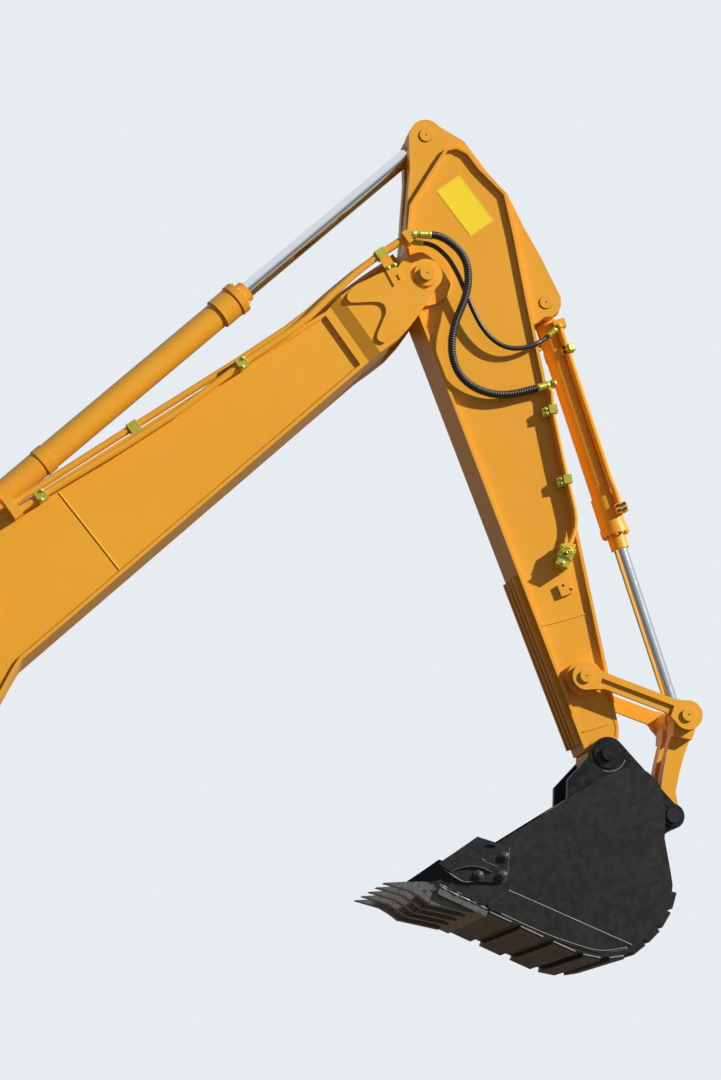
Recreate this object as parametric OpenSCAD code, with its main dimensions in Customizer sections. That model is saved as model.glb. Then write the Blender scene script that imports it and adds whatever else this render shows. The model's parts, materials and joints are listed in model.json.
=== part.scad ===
// Working arm of a 22 tonne class crawler excavator: boom, arm, bucket, their cylinders and links.
// Millimetres. The origin is the centre of the boom's foot pin, +X forward, +Z up, +Y to the left side.

/* [Boom] */
// Rise of the boom's front section above level, in degrees
front_rise = 35.5; // [25:0.5:45]
// Angle between the boom's rear and front sections
boom_bend = 36; // [30:1:42]
// From the tip pin back to the middle of the bend
boom_front = 3350; // [3200:10:3600]
// From the middle of the bend down to the foot pin
boom_rear = 2600; // [2400:10:2900]
// Width over the boom's side plates
boom_w = 430; // [400:2:450]
// Width of the boom's top and bottom plates
boom_flange_w = 470; // [460:2:520]
// Depth of the boom box at the bend
boom_depth = 750; // [720:5:790]
// Depth of the boom box where it meets the tip fork
boom_tip_depth = 380; // [360:5:400]
// Thickness of the boom's top and bottom plates
boom_plate = 20; // [14:1:26]
// Diameter of the foot pin's bore
foot_bore = 90; // [80:1:100]
// Width over the boom's foot
foot_w = 470; // [460:2:520]
// Outer diameter of the foot's boss
foot_boss_d = 260; // [230:2:280]
// Diameter of the bore for the boom cylinders' pin
lift_bore = 90; // [80:1:100]
// Outer diameter of the tube round that bore
lift_boss_d = 200; // [180:2:230]

/* [Arm] */
// Tilt of the line from the arm's pivot to the bucket's pivot, forward of straight down
arm_tilt = 20.7; // [10:0.1:30]
// From the arm's pivot to the bucket's pivot
arm_length = 2920; // [2850:10:3000]
// Width over the arm's side plates
arm_w = 300; // [290:2:320]
// Width of the arm's edge plates
arm_flange_w = 350; // [340:2:356]
// Thickness of the arm's edge plates
arm_plate = 18; // [12:1:24]
// Depth of the arm box just below its head
arm_depth = 575; // [540:5:600]
// Depth of the arm box at its tip
arm_tip_depth = 200; // [190:2:215]
// Height of the arm's belly below the line between its pivots
arm_belly = 105; // [95:1:115]

/* [Pins] */
// Diameter of the arm's pivot pin
arm_pin_d = 80; // [72:1:90]
// Diameter of the pins at the arm cylinder's two ends
arm_cyl_pin_d = 75; // [68:1:82]
// Diameter of the pins of the bucket, its cylinder and its links
link_pin_d = 70; // [64:1:76]
// Running clearance of a pin in its bore, on the radius
pin_fit = 0.05; // [0.02:0.01:0.09]
// Thickness of a pin's head
pin_head = 24; // [18:1:30]
// How far the pins stand out of the arm's head
flush_head = 7; // [5:1:12]
// Side gap between a boss and the ears beside it
side_gap = 5; // [3:0.5:6]

/* [Arm cylinder] */
// Diameter of the arm cylinder's barrel
arm_barrel_d = 158; // [150:1:170]
// Diameter of its rod
arm_rod_d = 95; // [85:1:105]
// How far its rod is out, with boom and arm as drawn
arm_rod_out = 1187; // [1150:1:1230]
// Width of its eyes
arm_eye_w = 110; // [100:1:116]
// Outer diameter of its eyes
arm_eye_d = 196; // [180:2:210]

/* [Bucket cylinder] */
// Diameter of the bucket cylinder's barrel
bucket_barrel_d = 135; // [125:1:145]
// Diameter of its rod
bucket_rod_d = 80; // [70:1:90]
// How far its rod is out, with arm and bucket as drawn
bucket_rod_out = 847; // [800:1:890]
// Width of its eyes
bucket_eye_w = 100; // [90:1:108]
// Outer diameter of its eyes
bucket_eye_d = 166; // [156:2:176]

/* [Links] */
// Thickness of an idler link
idler_t = 40; // [36:1:46]
// Width of its bar between the eyes
idler_bar = 86; // [74:1:96]
// Outer diameter of the idler link's upper eye
idler_top_d = 156; // [144:2:170]
// Outer diameter of the idler link's lower eye
idler_low_d = 166; // [154:2:180]
// Width over the bucket link where it meets the bucket
h_link_w = 308; // [306:2:314]
// Width of each leg of the bucket link, seen from the side
h_link_leg = 98; // [88:1:112]

/* [Bucket] */
// Outer width of the bucket
bucket_w = 1180; // [1100:10:1260]
// Thickness of the bucket's side plates
side_t = 22; // [16:1:30]
// Thickness of the bucket's wrapper plate
wrap_t = 25; // [18:1:32]
// Thickness of the strips on the bucket's sides
strip_t = 10; // [6:1:14]
// Thickness of the wear plates under the bucket
wear_t = 13; // [8:1:18]
// Thickness of the lip plate
lip_t = 42; // [35:1:50]
// Thickness of each of the bucket's ears
ear_t = 44; // [40:1:48]
// Number of teeth
teeth = 5; // [4:1:6]
// Width of a tooth
tooth_w = 78; // [66:1:90]
// From the bucket's pivot to the tips of the teeth
tip_radius = 1540; // [1500:5:1580]

/* [Hydraulic lines] */
// Diameter of the large pipes
pipe_d = 42; // [36:1:46]
// Diameter of the small pipes
small_pipe_d = 32; // [28:1:36]
// Diameter of the large hoses
hose_d = 40; // [34:1:44]
// Diameter of the small hoses
small_hose_d = 28; // [24:1:32]

/* [Hidden] */
$fn = 64;

// Plane geometry in the side view
function turn(p, a) = [p.x * cos(a) - p.y * sin(a), p.x * sin(a) + p.y * cos(a)];
function unit(v) = v / norm(v);
function bearing(v) = atan2(v.y, v.x);
function cross2(a, b) = a.x * b.y - a.y * b.x;
function meet(p, d, q, e) = p + d * cross2(q - p, e) / cross2(d, e);
function curve(a, b, c, n = 8) =
    [for (i = [0:n]) let (t = i / n) (1 - t) * (1 - t) * a + 2 * t * (1 - t) * b + t * t * c];
function backward(v) = [for (i = [len(v) - 1:-1:0]) v[i]];
function mirrored(pts) = [for (p = pts) [p.x, -p.y]];
// An outline that runs anticlockwise, drawn in by t all round
function drawn_in(pts, t) =
    [for (i = [0:len(pts) - 1])
        let (a = pts[(i + len(pts) - 1) % len(pts)], p = pts[i], b = pts[(i + 1) % len(pts)],
             d = unit(p - a), e = unit(b - p), m = [-d.y - e.y, d.x + e.x])
        p + m * t / (1 + d.x * e.x + d.y * e.y)];

// The boom's frames: front is along the front section from the tip pin, rear along the rear one
rear_rise = front_rise + boom_bend;
bend_drop = 0.25 * boom_depth;
bend_from_tip = turn([-boom_front, -bend_drop], front_rise);
tip_pin = boom_rear * [cos(rear_rise), sin(rear_rise)] - bend_from_tip;
function from_front(p) = tip_pin + turn(p, front_rise);
function from_rear(p) = turn(p, rear_rise);

// The arm's frame: x from the arm's pivot to the bucket's pivot, y towards the front
arm_bearing = arm_tilt - 90;
function from_arm(p) = tip_pin + turn(p, arm_bearing);

// Pivots in the arm's frame
rod_pin_at = [-814, 332];
cyl_pin_at = [349, 641];
idler_pin_at = [arm_length - 448, 31];
bucket_pin_at = [arm_length, 0];
link_pin_at = [arm_length - 48, 503];
h_pin_at = [arm_length + 449, 216];
// The arm cylinder's base pin in the boom's front frame
base_pin_at = [-2843, 289];

// The bucket's frame: x from its pivot to the tips of the teeth, y away from its mouth
bucket_bearing = -149.8;
bucket_at = from_arm(bucket_pin_at);
ear_pin_at = turn(from_arm(h_pin_at) - bucket_at, -bucket_bearing);

arm_cyl_a = from_front(base_pin_at);
arm_cyl_b = from_arm(rod_pin_at);
bucket_cyl_a = from_arm(cyl_pin_at);
bucket_cyl_b = from_arm(link_pin_at);

// Half widths across the machine
fork_in = arm_flange_w / 2 + side_gap;
fork_out = fork_in + 82;
arm_ear_in = arm_eye_w / 2 + 6;
arm_ear_out = arm_w / 2 - 5;
seat = 0.6;
boss_half = h_link_w / 2;
bucket_ear_in = boss_half + side_gap;
bucket_ear_out = bucket_ear_in + ear_t;
ear_hub = 8;
ear_pin_hub = 16;
link_head = 14;
idler_in = bucket_ear_out + ear_hub + side_gap;
idler_out = idler_in + idler_t;
fork_collar = 20;
fork_raised = 16;

// Slab of a side view outline, w thick across the machine, its middle at y
module slab(w, y = 0) {
    translate([0, y + w / 2, 0]) rotate([90, 0, 0]) linear_extrude(w) children();
}
// The same slab on both sides of the machine, from half width a to half width b
module pair(a, b) {
    for (s = [-1, 1]) slab(b - a, s * (a + b) / 2) children();
}
// Round bar across the machine
module bar(p, d, w, y = 0) {
    translate([p.x, y, p.y]) rotate([90, 0, 0]) cylinder(h = w, d = d, center = true);
}
module bars(p, d, a, b) {
    for (s = [-1, 1]) bar(p, d, b - a, s * (a + b) / 2);
}
// Places what is drawn in one of the frames
module in_front() { translate([tip_pin.x, 0, tip_pin.y]) rotate([0, -front_rise, 0]) children(); }
module in_arm() { translate([tip_pin.x, 0, tip_pin.y]) rotate([0, -arm_bearing, 0]) children(); }
module in_bucket() { translate([bucket_at.x, 0, bucket_at.y]) rotate([0, -bucket_bearing, 0]) children(); }
module along(p, q) { translate([p.x, 0, p.y]) rotate([0, -bearing(q - p), 0]) children(); }
// Box of a closed outline: side plates core wide, edge plates wide and t thick
module plate_box(outline, core, wide, t) {
    slab(core) polygon(outline);
    slab(wide) difference() {
        polygon(outline);
        polygon(drawn_in(outline, t));
    }
}
// Pin with a flat head at each end, or only its two ends if a is above 0
module pin(p, d, a, b, head_d, head = pin_head) {
    if (a > 0) bars(p, d, a, b + 1); else bar(p, d, 2 * b + 2);
    bars(p, head_d, b, b + head);
}

// Boom
seam_back = 600;
lift_pin = from_front([-boom_front + 130, -0.27 * boom_depth]);
box_top = [from_front([-seam_back, 0.375 * boom_tip_depth]), from_front([-2900, 0.24 * boom_depth])];
box_low = [from_front([-seam_back, -0.625 * boom_tip_depth]), from_front([-3150, -0.735 * boom_depth])];
foot_top = from_rear([230, 0.5 * foot_boss_d]);
foot_low = from_rear([230, -0.5 * foot_boss_d]);
rear_top = from_rear([boom_rear - 800, 0.42 * boom_depth]);
rear_low = from_rear([boom_rear - 750, -0.42 * boom_depth]);
boom_outline = concat(
    [foot_low],
    curve(rear_low, meet(foot_low, rear_low - foot_low, box_low[0], box_low[1] - box_low[0]), box_low[1]),
    [box_low[0], box_top[0]],
    curve(box_top[1], meet(foot_top, rear_top - foot_top, box_top[0], box_top[1] - box_top[0]), rear_top),
    [foot_top]
);
module boom_box() {
    color("orange") difference() {
        plate_box(boom_outline, boom_w, boom_flange_w, boom_plate);
        bar(lift_pin, lift_boss_d + seat, boom_flange_w + 2);
    }
}
module boom_lift_boss() {
    color("orange") difference() {
        bar(lift_pin, lift_boss_d, boom_flange_w + 20);
        bar(lift_pin, lift_bore, boom_flange_w + 30);
    }
}
module boom_foot() {
    color("orange") difference() {
        union() {
            bar([0, 0], foot_boss_d, foot_w);
            slab(foot_w) polygon([
                from_rear([0, foot_boss_d / 2]), from_rear([0, -foot_boss_d / 2]), foot_low, foot_top
            ]);
        }
        bar([0, 0], foot_bore, foot_w + 2);
    }
}
box_tip_top = 0.375 * boom_tip_depth;
box_tip_low = -0.625 * boom_tip_depth;
fork_end_r = 94;
fork_outline = [
    [-seam_back, box_tip_top], [-508, 165], [-367, 172], [-190, 146], [-60, 108], [0, fork_end_r],
    [0, -fork_end_r], [-60, -122], [-156, -161], [-253, -195], [-362, -221], [-seam_back, box_tip_low]
];
module boom_tip_fork() {
    ramp = [-570, -490];
    color("orange") in_front() difference() {
        union() {
            intersection() {
                slab(2 * fork_out) polygon(fork_outline);
                linear_extrude(2000, center = true) polygon([
                    [-seam_back, -boom_flange_w / 2], [ramp[0], -boom_flange_w / 2], [ramp[1], -fork_out],
                    [10, -fork_out], [10, fork_out],
                    [ramp[1], fork_out], [ramp[0], boom_flange_w / 2], [-seam_back, boom_flange_w / 2]
                ]);
            }
            bar([0, 0], 2 * fork_end_r, 2 * fork_out);
            bars([0, 0], 142, fork_out - 1, fork_out + fork_collar);
            pair(fork_out - 1, fork_out + fork_raised) difference() {
                polygon(wave_plate);
                circle(d = 190);
            }
        }
        slab(2 * fork_in) {
            circle(r = 215);
            polygon([
                [-395, 190], [-255, 40], [-235, -40], [-430, -250], [300, -400], [300, 400], [-395, 400]
            ]);
        }
        bar([0, 0], arm_pin_d + 2 * pin_fit, 2 * fork_out + 80);
    }
}
// Raised plate on the fork's outer face, with its wavy rear edge
wave_plate = concat(
    curve([-190, 143], [-330, 172], [-430, 158], 4), curve([-455, 150], [-485, 125], [-462, 97], 4),
    curve([-352, 32], [-285, -8], [-335, -62], 5), curve([-432, -124], [-490, -158], [-440, -198], 4),
    [[-300, -198], [-156, -158], [-60, -118], [0, -fork_end_r], [0, fork_end_r], [-60, 104]]
);
module arm_cylinder_bracket() {
    wall = 45;
    foot = 0.24 * boom_depth + 1;
    color("orange") in_front() difference() {
        pair(arm_ear_in, arm_ear_in + wall) {
            translate(base_pin_at) circle(d = arm_eye_d);
            polygon([
                base_pin_at + [-330, foot - 30 - base_pin_at.y], base_pin_at + [-60, 75],
                base_pin_at + [92, -32], base_pin_at + [190, foot - 8 - base_pin_at.y]
            ]);
        }
        rotate([0, front_rise, 0]) translate([-tip_pin.x, 0, -tip_pin.y])
            slab(4 * arm_ear_in) polygon(boom_outline);
        bar(base_pin_at, arm_cyl_pin_d + 2 * pin_fit, 600);
    }
}
module arm_cylinder_base_pin() {
    color("dimgray") in_front() pin(base_pin_at, arm_cyl_pin_d, 0, arm_ear_in + 45, 1.4 * arm_cyl_pin_d);
}
module arm_pivot_pin() {
    color("dimgray") in_front() pin([0, 0], arm_pin_d, 0, fork_out + fork_collar, 1.05 * arm_pin_d);
}
// The two pipes on each side of the boom: outside the flange's edge, and on top of the flange
pipe_end = 16;
outer_route = [
    [-2700, 145], [-2640, 145], [-2429, 140], [-2026, 124], [-1642, 122], [-1191, 150], [-850, 154],
    [-718, 166], [-537, 200], [-340, 230], [-180, 243], [-120, 246], [pipe_end, 246]
];
inner_route = [
    [-2700, 203], [-2640, 203], [-2026, 197], [-1191, 184], [-850, 186], [-700, 196],
    [-537, 219], [-340, 241], [-180, 249], [-120, 250], [pipe_end, 250]
];
outer_pipe_y = boom_flange_w / 2 + pipe_d / 2 + 2;
inner_pipe_y = outer_pipe_y - 50;
module boom_pipe(route, s, y, d) { tube([for (p = route) [p.x, s * y, p.y]], d); }
module boom_pipes() {
    color("orange") in_front() for (s = [-1, 1]) {
        boom_pipe(outer_route, s, outer_pipe_y, pipe_d);
        boom_pipe(inner_route, s, inner_pipe_y, pipe_d);
    }
}
module boom_clamps() {
    half = 30;
    wide = outer_pipe_y + pipe_d / 2 + 12 - boom_flange_w / 2;
    color("olive") for (s = [-1, 1]) difference() {
        in_front() {
            for (x = [-2560, -1191])
                slab(wide, s * (boom_flange_w + wide) / 2)
                    translate([x - half, lookup(x, outer_route) - pipe_d / 2 - 12])
                        square([2 * half, pipe_d + 24]);
            slab(pipe_d + 14, s * inner_pipe_y)
                translate([-1900 - half, 130])
                    square([2 * half, lookup(-1900, inner_route) + pipe_d / 2 - 122]);
            slab(pipe_d + 16, s * outer_pipe_y)
                translate([strap_at - half, strap_top]) square([2 * half, pipe_d + 12]);
        }
        slab(boom_flange_w) polygon(boom_outline);
        in_front() boom_pipe(outer_route, s, outer_pipe_y, pipe_d + seat);
        in_front() boom_pipe(inner_route, s, inner_pipe_y, pipe_d + seat);
    }
}
block_in = inner_pipe_y - pipe_d / 2 - 2;
block_out = outer_pipe_y + pipe_d / 2 + 20;
block_l = 32;
strap_at = -150;
strap_top = lookup(strap_at, outer_route) - pipe_d / 2 - 6;
module hose_blocks() {
    top = 276;
    low = 200;
    strap_t = 8;
    strap_y = fork_out + fork_raised;
    rear = outer_route[0].x;
    color("orange") for (s = [-1, 1]) {
        in_front() {
            slab(block_out - block_in, s * (block_in + block_out) / 2)
                translate([pipe_end, low]) square([block_l, top - low]);
            slab(strap_t, s * (strap_y + strap_t / 2)) difference() {
                polygon([
                    [strap_at - 52, 42], [strap_at + 17, 42],
                    [strap_at + 30, strap_top], [strap_at - 30, strap_top]
                ]);
                translate([strap_at - 9, 72]) rotate(-10) square([22, 34], center = true);
            }
            slab(strap_y + 1 - outer_pipe_y + pipe_d / 2, s * (strap_y + 1 + outer_pipe_y - pipe_d / 2) / 2)
                translate([strap_at - 30, strap_top - strap_t]) square([60, strap_t]);
        }
        difference() {
            in_front() slab(block_out - block_in, s * (block_in + block_out) / 2)
                translate([rear - 55, 110]) square([55, 130]);
            slab(boom_flange_w) polygon(boom_outline);
        }
    }
}

// Hoses between the boom and the arm, each as it lies in the photograph: x and z from the arm's pivot,
// how far the point goes with the arm, and how far it has come in from the boom's side to the arm's
large_hose_route = [
    [20, 234, 0, 0], [60, 232, 0, 0], [105, 216, 0.05, 0.02], [150, 187, 0.1, 0.04],
    [192, 148, 0.18, 0.06], [224, 98, 0.26, 0.08], [240, 40, 0.34, 0.1], [243, -20, 0.4, 0.13],
    [236, -84, 0.45, 0.17], [214, -160, 0.5, 0.26], [184, -237, 0.55, 0.38], [160, -320, 0.6, 0.5],
    [152, -400, 0.65, 0.62], [160, -475, 0.7, 0.72], [184, -540, 0.76, 0.81], [226, -596, 0.82, 0.88],
    [288, -640, 0.88, 0.93], [366, -668, 0.93, 0.97], [446, -676, 0.97, 0.99], [530, -664, 1, 1],
    [600, -645, 1, 1], [660, -627, 1, 1]
];
small_hose_route = [
    [-20, 200, 0, 0], [18, 196, 0, 0], [60, 180, 0.04, 0], [100, 150, 0.08, 0], [138, 110, 0.12, 0],
    [170, 60, 0.16, 0.02], [198, 8, 0.2, 0.04], [226, -60, 0.26, 0.06], [256, -130, 0.34, 0.09],
    [288, -204, 0.42, 0.12], [328, -277, 0.5, 0.16], [378, -338, 0.6, 0.2], [440, -382, 0.7, 0.24],
    [508, -400, 0.8, 0.28], [576, -394, 0.88, 0.33], [640, -371, 0.95, 0.4], [670, -353, 0.98, 0.52],
    [704, -328, 1, 1], [733, -302, 1, 1]
];
large_hose_out = fork_out + 10;
small_hose_out = large_hose_out - 50;
small_hose_in = arm_w / 2 + 10;
// Turns a point of a hose from the photograph's pose to the pose of the boom and arm
function posed(p) = turn([p.x, p.y], (1 - p.z) * (front_rise - 35.5) + p.z * (arm_tilt - 20.7));
function hose_line(route, s, from, to) =
    [for (p = route) let (q = posed(p)) [q.x, s * (from + p[3] * (to - from)), q.y]];
function hose_end(route) = posed(route[len(route) - 1]);
function hose_way(route) = unit(hose_end(route) - posed(route[len(route) - 2]));

// Arm
arm_slope = (arm_tip_depth - arm_depth) / (arm_length - 650);
function arm_front(x) = arm_depth - arm_belly + arm_slope * (x - 720);
head_cut = 720;
tip_boss_d = 215;
arm_outline = [
    [195, -arm_belly], [arm_length - 60, -arm_belly], [arm_length - 60, 0.46 * tip_boss_d],
    [arm_length - 120, arm_front(arm_length - 120)], [652, arm_front(652)], [297, 541], [-68, 609],
    [-332, 649], [-524, 561], [-635, 529], [-691, 475], [-699, 409], [-655, 349], [-440, 80], [-203, -35]
];
pivot_boss_d = 320;
link_boss_d = 200;
module arm_part(from, to) {
    intersection() {
        plate_box(arm_outline, arm_w, arm_flange_w, arm_plate);
        slab(arm_flange_w) translate([from, -600]) square([to - from, 1600]);
    }
}
module arm_box() {
    color("orange") in_arm() difference() {
        arm_part(head_cut, arm_length);
        bar(idler_pin_at, link_boss_d + seat, arm_flange_w + 2);
        bar(bucket_pin_at, tip_boss_d + seat, arm_flange_w + 2);
        pair(boss_half - 1, arm_flange_w) translate(bucket_pin_at) circle(r = 300);
    }
}
head_outline = [
    [-860, 240], [-640, 163], [-422, 61], [-203, -35], [195, -50], [435, 300], [448, 544],
    [428, 606], [430, 690], [349, 734], [90, 710], [-120, 679], [-328, 660], [-487, 596],
    [-654, 548], [-710, 532], [-870, 400]
];
module arm_head() {
    room = 80;
    color("orange") in_arm() difference() {
        union() {
            arm_part(-1000, head_cut);
            pair(arm_ear_in, arm_ear_out) {
                polygon(head_outline);
                translate(rod_pin_at) circle(r = 95);
                translate(cyl_pin_at) circle(r = 88);
            }
        }
        slab(2 * arm_ear_in) {
            translate(rod_pin_at) circle(d = arm_eye_d + 2 * room);
            translate(cyl_pin_at) circle(d = bucket_eye_d + 40);
            translate(cyl_pin_at) rotate(-3) translate([0, -105]) square([400, 300]);
        }
        bar([0, 0], pivot_boss_d + seat, arm_flange_w + 2);
        bar(rod_pin_at, arm_cyl_pin_d + 2 * pin_fit, 600);
        bar(cyl_pin_at, link_pin_d + 2 * pin_fit, 600);
    }
}
module arm_pivot_boss() {
    color("orange") in_arm() difference() {
        bar([0, 0], pivot_boss_d, arm_flange_w);
        bar([0, 0], arm_pin_d + 2 * pin_fit, arm_flange_w + 2);
    }
}
module arm_tip_boss() {
    color("orange") in_arm() difference() {
        bar(bucket_pin_at, tip_boss_d, 2 * boss_half);
        bar(bucket_pin_at, link_pin_d + 2 * pin_fit, 2 * boss_half + 2);
    }
}
module arm_link_boss() {
    color("orange") in_arm() difference() {
        bar(idler_pin_at, link_boss_d, 2 * (idler_in - side_gap));
        bar(idler_pin_at, link_pin_d + 2 * pin_fit, 2 * idler_in);
    }
}
module arm_belly_bars() {
    high = 30;
    color("orange") in_arm() for (y = [-120, -45, 45, 120]) {
        slab(26, y) translate([arm_length - 1130, -arm_belly - high]) square([1020, high]);
    }
}
// The arm's pipes start where the large hoses end, and run down to the valves
arm_pipe_y = arm_flange_w / 2 + small_pipe_d / 2 + 6;
pipe_way = turn(hose_way(large_hose_route), -arm_bearing);
pipe_start = turn(hose_end(large_hose_route), -arm_bearing) + 0.1 * pipe_way;
pipe_off_edge = [
    [838, 0], [866, 11], [920, 3], [1008, -6], [1261, -7], [1437, -3], [1554, 0],
    [1606, -5], [1652, -18]
];
// The valve's frame: along it from the end that the pipe enters, and across it
valve_x = 1747;
valve_off_edge = -87;
valve_at = [valve_x, arm_front(valve_x) + valve_off_edge];
valve_turn = -42;
valve_port = 4;
last_run = 72;
function on_valve(p) = valve_at + turn(p, valve_turn);
arm_pipe_route = concat(
    [pipe_start, pipe_start + 34 * pipe_way], [for (p = pipe_off_edge) [p.x, arm_front(p.x) + p.y]],
    [on_valve([-last_run, valve_port]), on_valve([-seat, valve_port])]
);
module arm_pipe(s, d) { tube([for (p = arm_pipe_route) [p.x, s * arm_pipe_y, p.y]], d); }
module arm_pipes() {
    color("orange") in_arm() for (s = [-1, 1]) arm_pipe(s, small_pipe_d);
}
// Half of the valve's outline, from the end that the pipe enters: a head, a neck, a waist and a foot
valve_half = [[0, 46], [28, 46], [28, 37], [36, 37], [36, 44], [76, 44], [76, 36], [122, 36]];
valve_flange = [27, 34];
pad_at = [1925, 85];
module arm_valves() {
    valve_out = arm_pipe_y + 40;
    flange_out = arm_pipe_y + small_pipe_d / 2 + 6;
    pad = 25;
    color("orange") in_arm() for (s = [-1, 1]) {
        difference() {
            union() {
                slab(valve_out - arm_w / 2, s * (arm_w / 2 + valve_out) / 2)
                    polygon([for (p = concat(valve_half, backward(mirrored(valve_half)))) on_valve(p)]);
                slab(flange_out - arm_w / 2, s * (arm_w / 2 + flange_out) / 2)
                    translate(valve_at) rotate(valve_turn)
                        translate([-valve_flange.x, valve_port - valve_flange.y])
                            square([valve_flange.x + 1, 2 * valve_flange.y]);
            }
            arm_pipe(s, small_pipe_d + seat);
        }
        slab(pad, s * (arm_w + pad) / 2) translate(pad_at) square([70, 70]);
    }
}
clamps_at = [965, 1375];
module arm_clamps() {
    wide = arm_pipe_y + small_pipe_d / 2 + 7 - arm_flange_w / 2;
    color("olive") in_arm() for (s = [-1, 1]) difference() {
        for (x = clamps_at)
            slab(wide, s * (arm_flange_w + wide) / 2)
                translate([x, lookup(x, arm_pipe_route)]) rotate(atan(arm_slope))
                    square([50, small_pipe_d + 16], center = true);
        arm_pipe(s, small_pipe_d + seat);
    }
}
module arm_rod_pins() {
    color("dimgray") in_arm()
        pin(rod_pin_at, arm_cyl_pin_d, arm_ear_in + 1, arm_ear_out, 1.04 * arm_cyl_pin_d, flush_head);
}
module bucket_cylinder_pin() {
    color("dimgray") in_arm() pin(cyl_pin_at, link_pin_d, 0, arm_ear_out, 1.09 * link_pin_d, flush_head);
}
module idler_pin() {
    color("dimgray") in_arm() pin(idler_pin_at, link_pin_d, 0, idler_out + 1, 1.06 * link_pin_d, link_head);
}

// Cylinders, drawn along the line from their base pin
module round_bar(d, a, b) { translate([a, 0, 0]) rotate([0, 90, 0]) cylinder(h = b - a, d = d); }
module barrel(d, bore, eye_d, eye_w, pin_d, length) {
    difference() {
        union() {
            bar([0, 0], eye_d, eye_w);
            intersection() {
                round_bar(0.9 * d, 0.3 * eye_d, 0.62 * eye_d);
                slab(eye_w) square(2 * eye_d, center = true);
            }
            round_bar(d, 0.6 * eye_d, length);
        }
        round_bar(bore, 0.66 * eye_d, length + 1);
        bar([0, 0], pin_d + 2 * pin_fit, eye_w + 2);
    }
}
module gland(d, nose_d, rod_d, a, b, nose) {
    flange = 40;
    difference() {
        union() {
            round_bar(0.93 * d, a, b - nose - flange + 1);
            round_bar(d, b - nose - flange, b - nose);
            round_bar(nose_d, b - nose - 1, b);
        }
        round_bar(rod_d + 2 * pin_fit, a - 1, b + 1);
    }
}
module rod(d, eye_d, pin_eye, inner) { round_bar(d, inner, pin_eye - 0.48 * eye_d); }
module rod_eye(eye_d, eye_w, pin_d, rod_d, at) {
    difference() {
        union() {
            bar([at, 0], eye_d, eye_w);
            round_bar(1.15 * rod_d, at - 0.62 * eye_d, at - 0.3 * eye_d);
        }
        round_bar(rod_d, at - eye_d, at - 0.48 * eye_d);
        bar([at, 0], pin_d + 2 * pin_fit, eye_w + 2);
    }
}
arm_cyl_at_rest = norm(arm_cyl_b - arm_cyl_a);
arm_gland_end = arm_cyl_at_rest - arm_rod_out - 210;
arm_gland_start = arm_gland_end - 219;
bucket_cyl_at_rest = norm(bucket_cyl_b - bucket_cyl_a);
bucket_gland_end = bucket_cyl_at_rest - bucket_rod_out - 195;
bucket_gland_start = bucket_gland_end - 315;
rod_tail = 135;
module arm_barrel() {
    color("orange") along(arm_cyl_a, arm_cyl_b)
        barrel(arm_barrel_d, 0.8 * arm_barrel_d, arm_eye_d, arm_eye_w, arm_cyl_pin_d, arm_gland_start);
}
module arm_gland() {
    color("orange") along(arm_cyl_a, arm_cyl_b)
        gland(1.24 * arm_barrel_d, 1.32 * arm_rod_d, arm_rod_d, arm_gland_start, arm_gland_end, 57);
}
module arm_cylinder_lines() {
    band = 6;
    line_d = 28;
    side = arm_barrel_d / 2 + band + line_d / 2 + 0.3;
    end = arm_gland_start + 60;
    color("orange") along(arm_cyl_a, arm_cyl_b) difference() {
        union() {
            tube([for (x = [160, 330, 900, 1400, end]) [x, side, x < end ? 0 : 1]], line_d);
            for (x = [150, end - 12]) translate([x, 40, -24]) cube([44, side - 22, 48]);
            translate([430, 0, 0]) round_bar(arm_barrel_d + 2 * band, 0, 62);
        }
        round_bar(arm_barrel_d + seat, 0, arm_gland_start);
        round_bar(1.24 * 0.93 * arm_barrel_d + seat, arm_gland_start - 0.3, arm_gland_end);
    }
}
module arm_rod() {
    color("silver") along(arm_cyl_a, arm_cyl_b)
        rod(arm_rod_d, arm_eye_d, arm_cyl_at_rest, arm_rod_out + rod_tail);
}
module arm_rod_eye() {
    color("orange") along(arm_cyl_a, arm_cyl_b)
        rod_eye(arm_eye_d, arm_eye_w, arm_cyl_pin_d, arm_rod_d, arm_cyl_at_rest);
}
module bucket_barrel() {
    color("orange") along(bucket_cyl_a, bucket_cyl_b)
        barrel(bucket_barrel_d, 0.8 * bucket_barrel_d, bucket_eye_d, bucket_eye_w, link_pin_d,
            bucket_gland_start);
}
module bucket_gland() {
    color("orange") along(bucket_cyl_a, bucket_cyl_b)
        gland(1.22 * bucket_barrel_d, 1.34 * bucket_rod_d, bucket_rod_d, bucket_gland_start,
            bucket_gland_end, 89);
}
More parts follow.
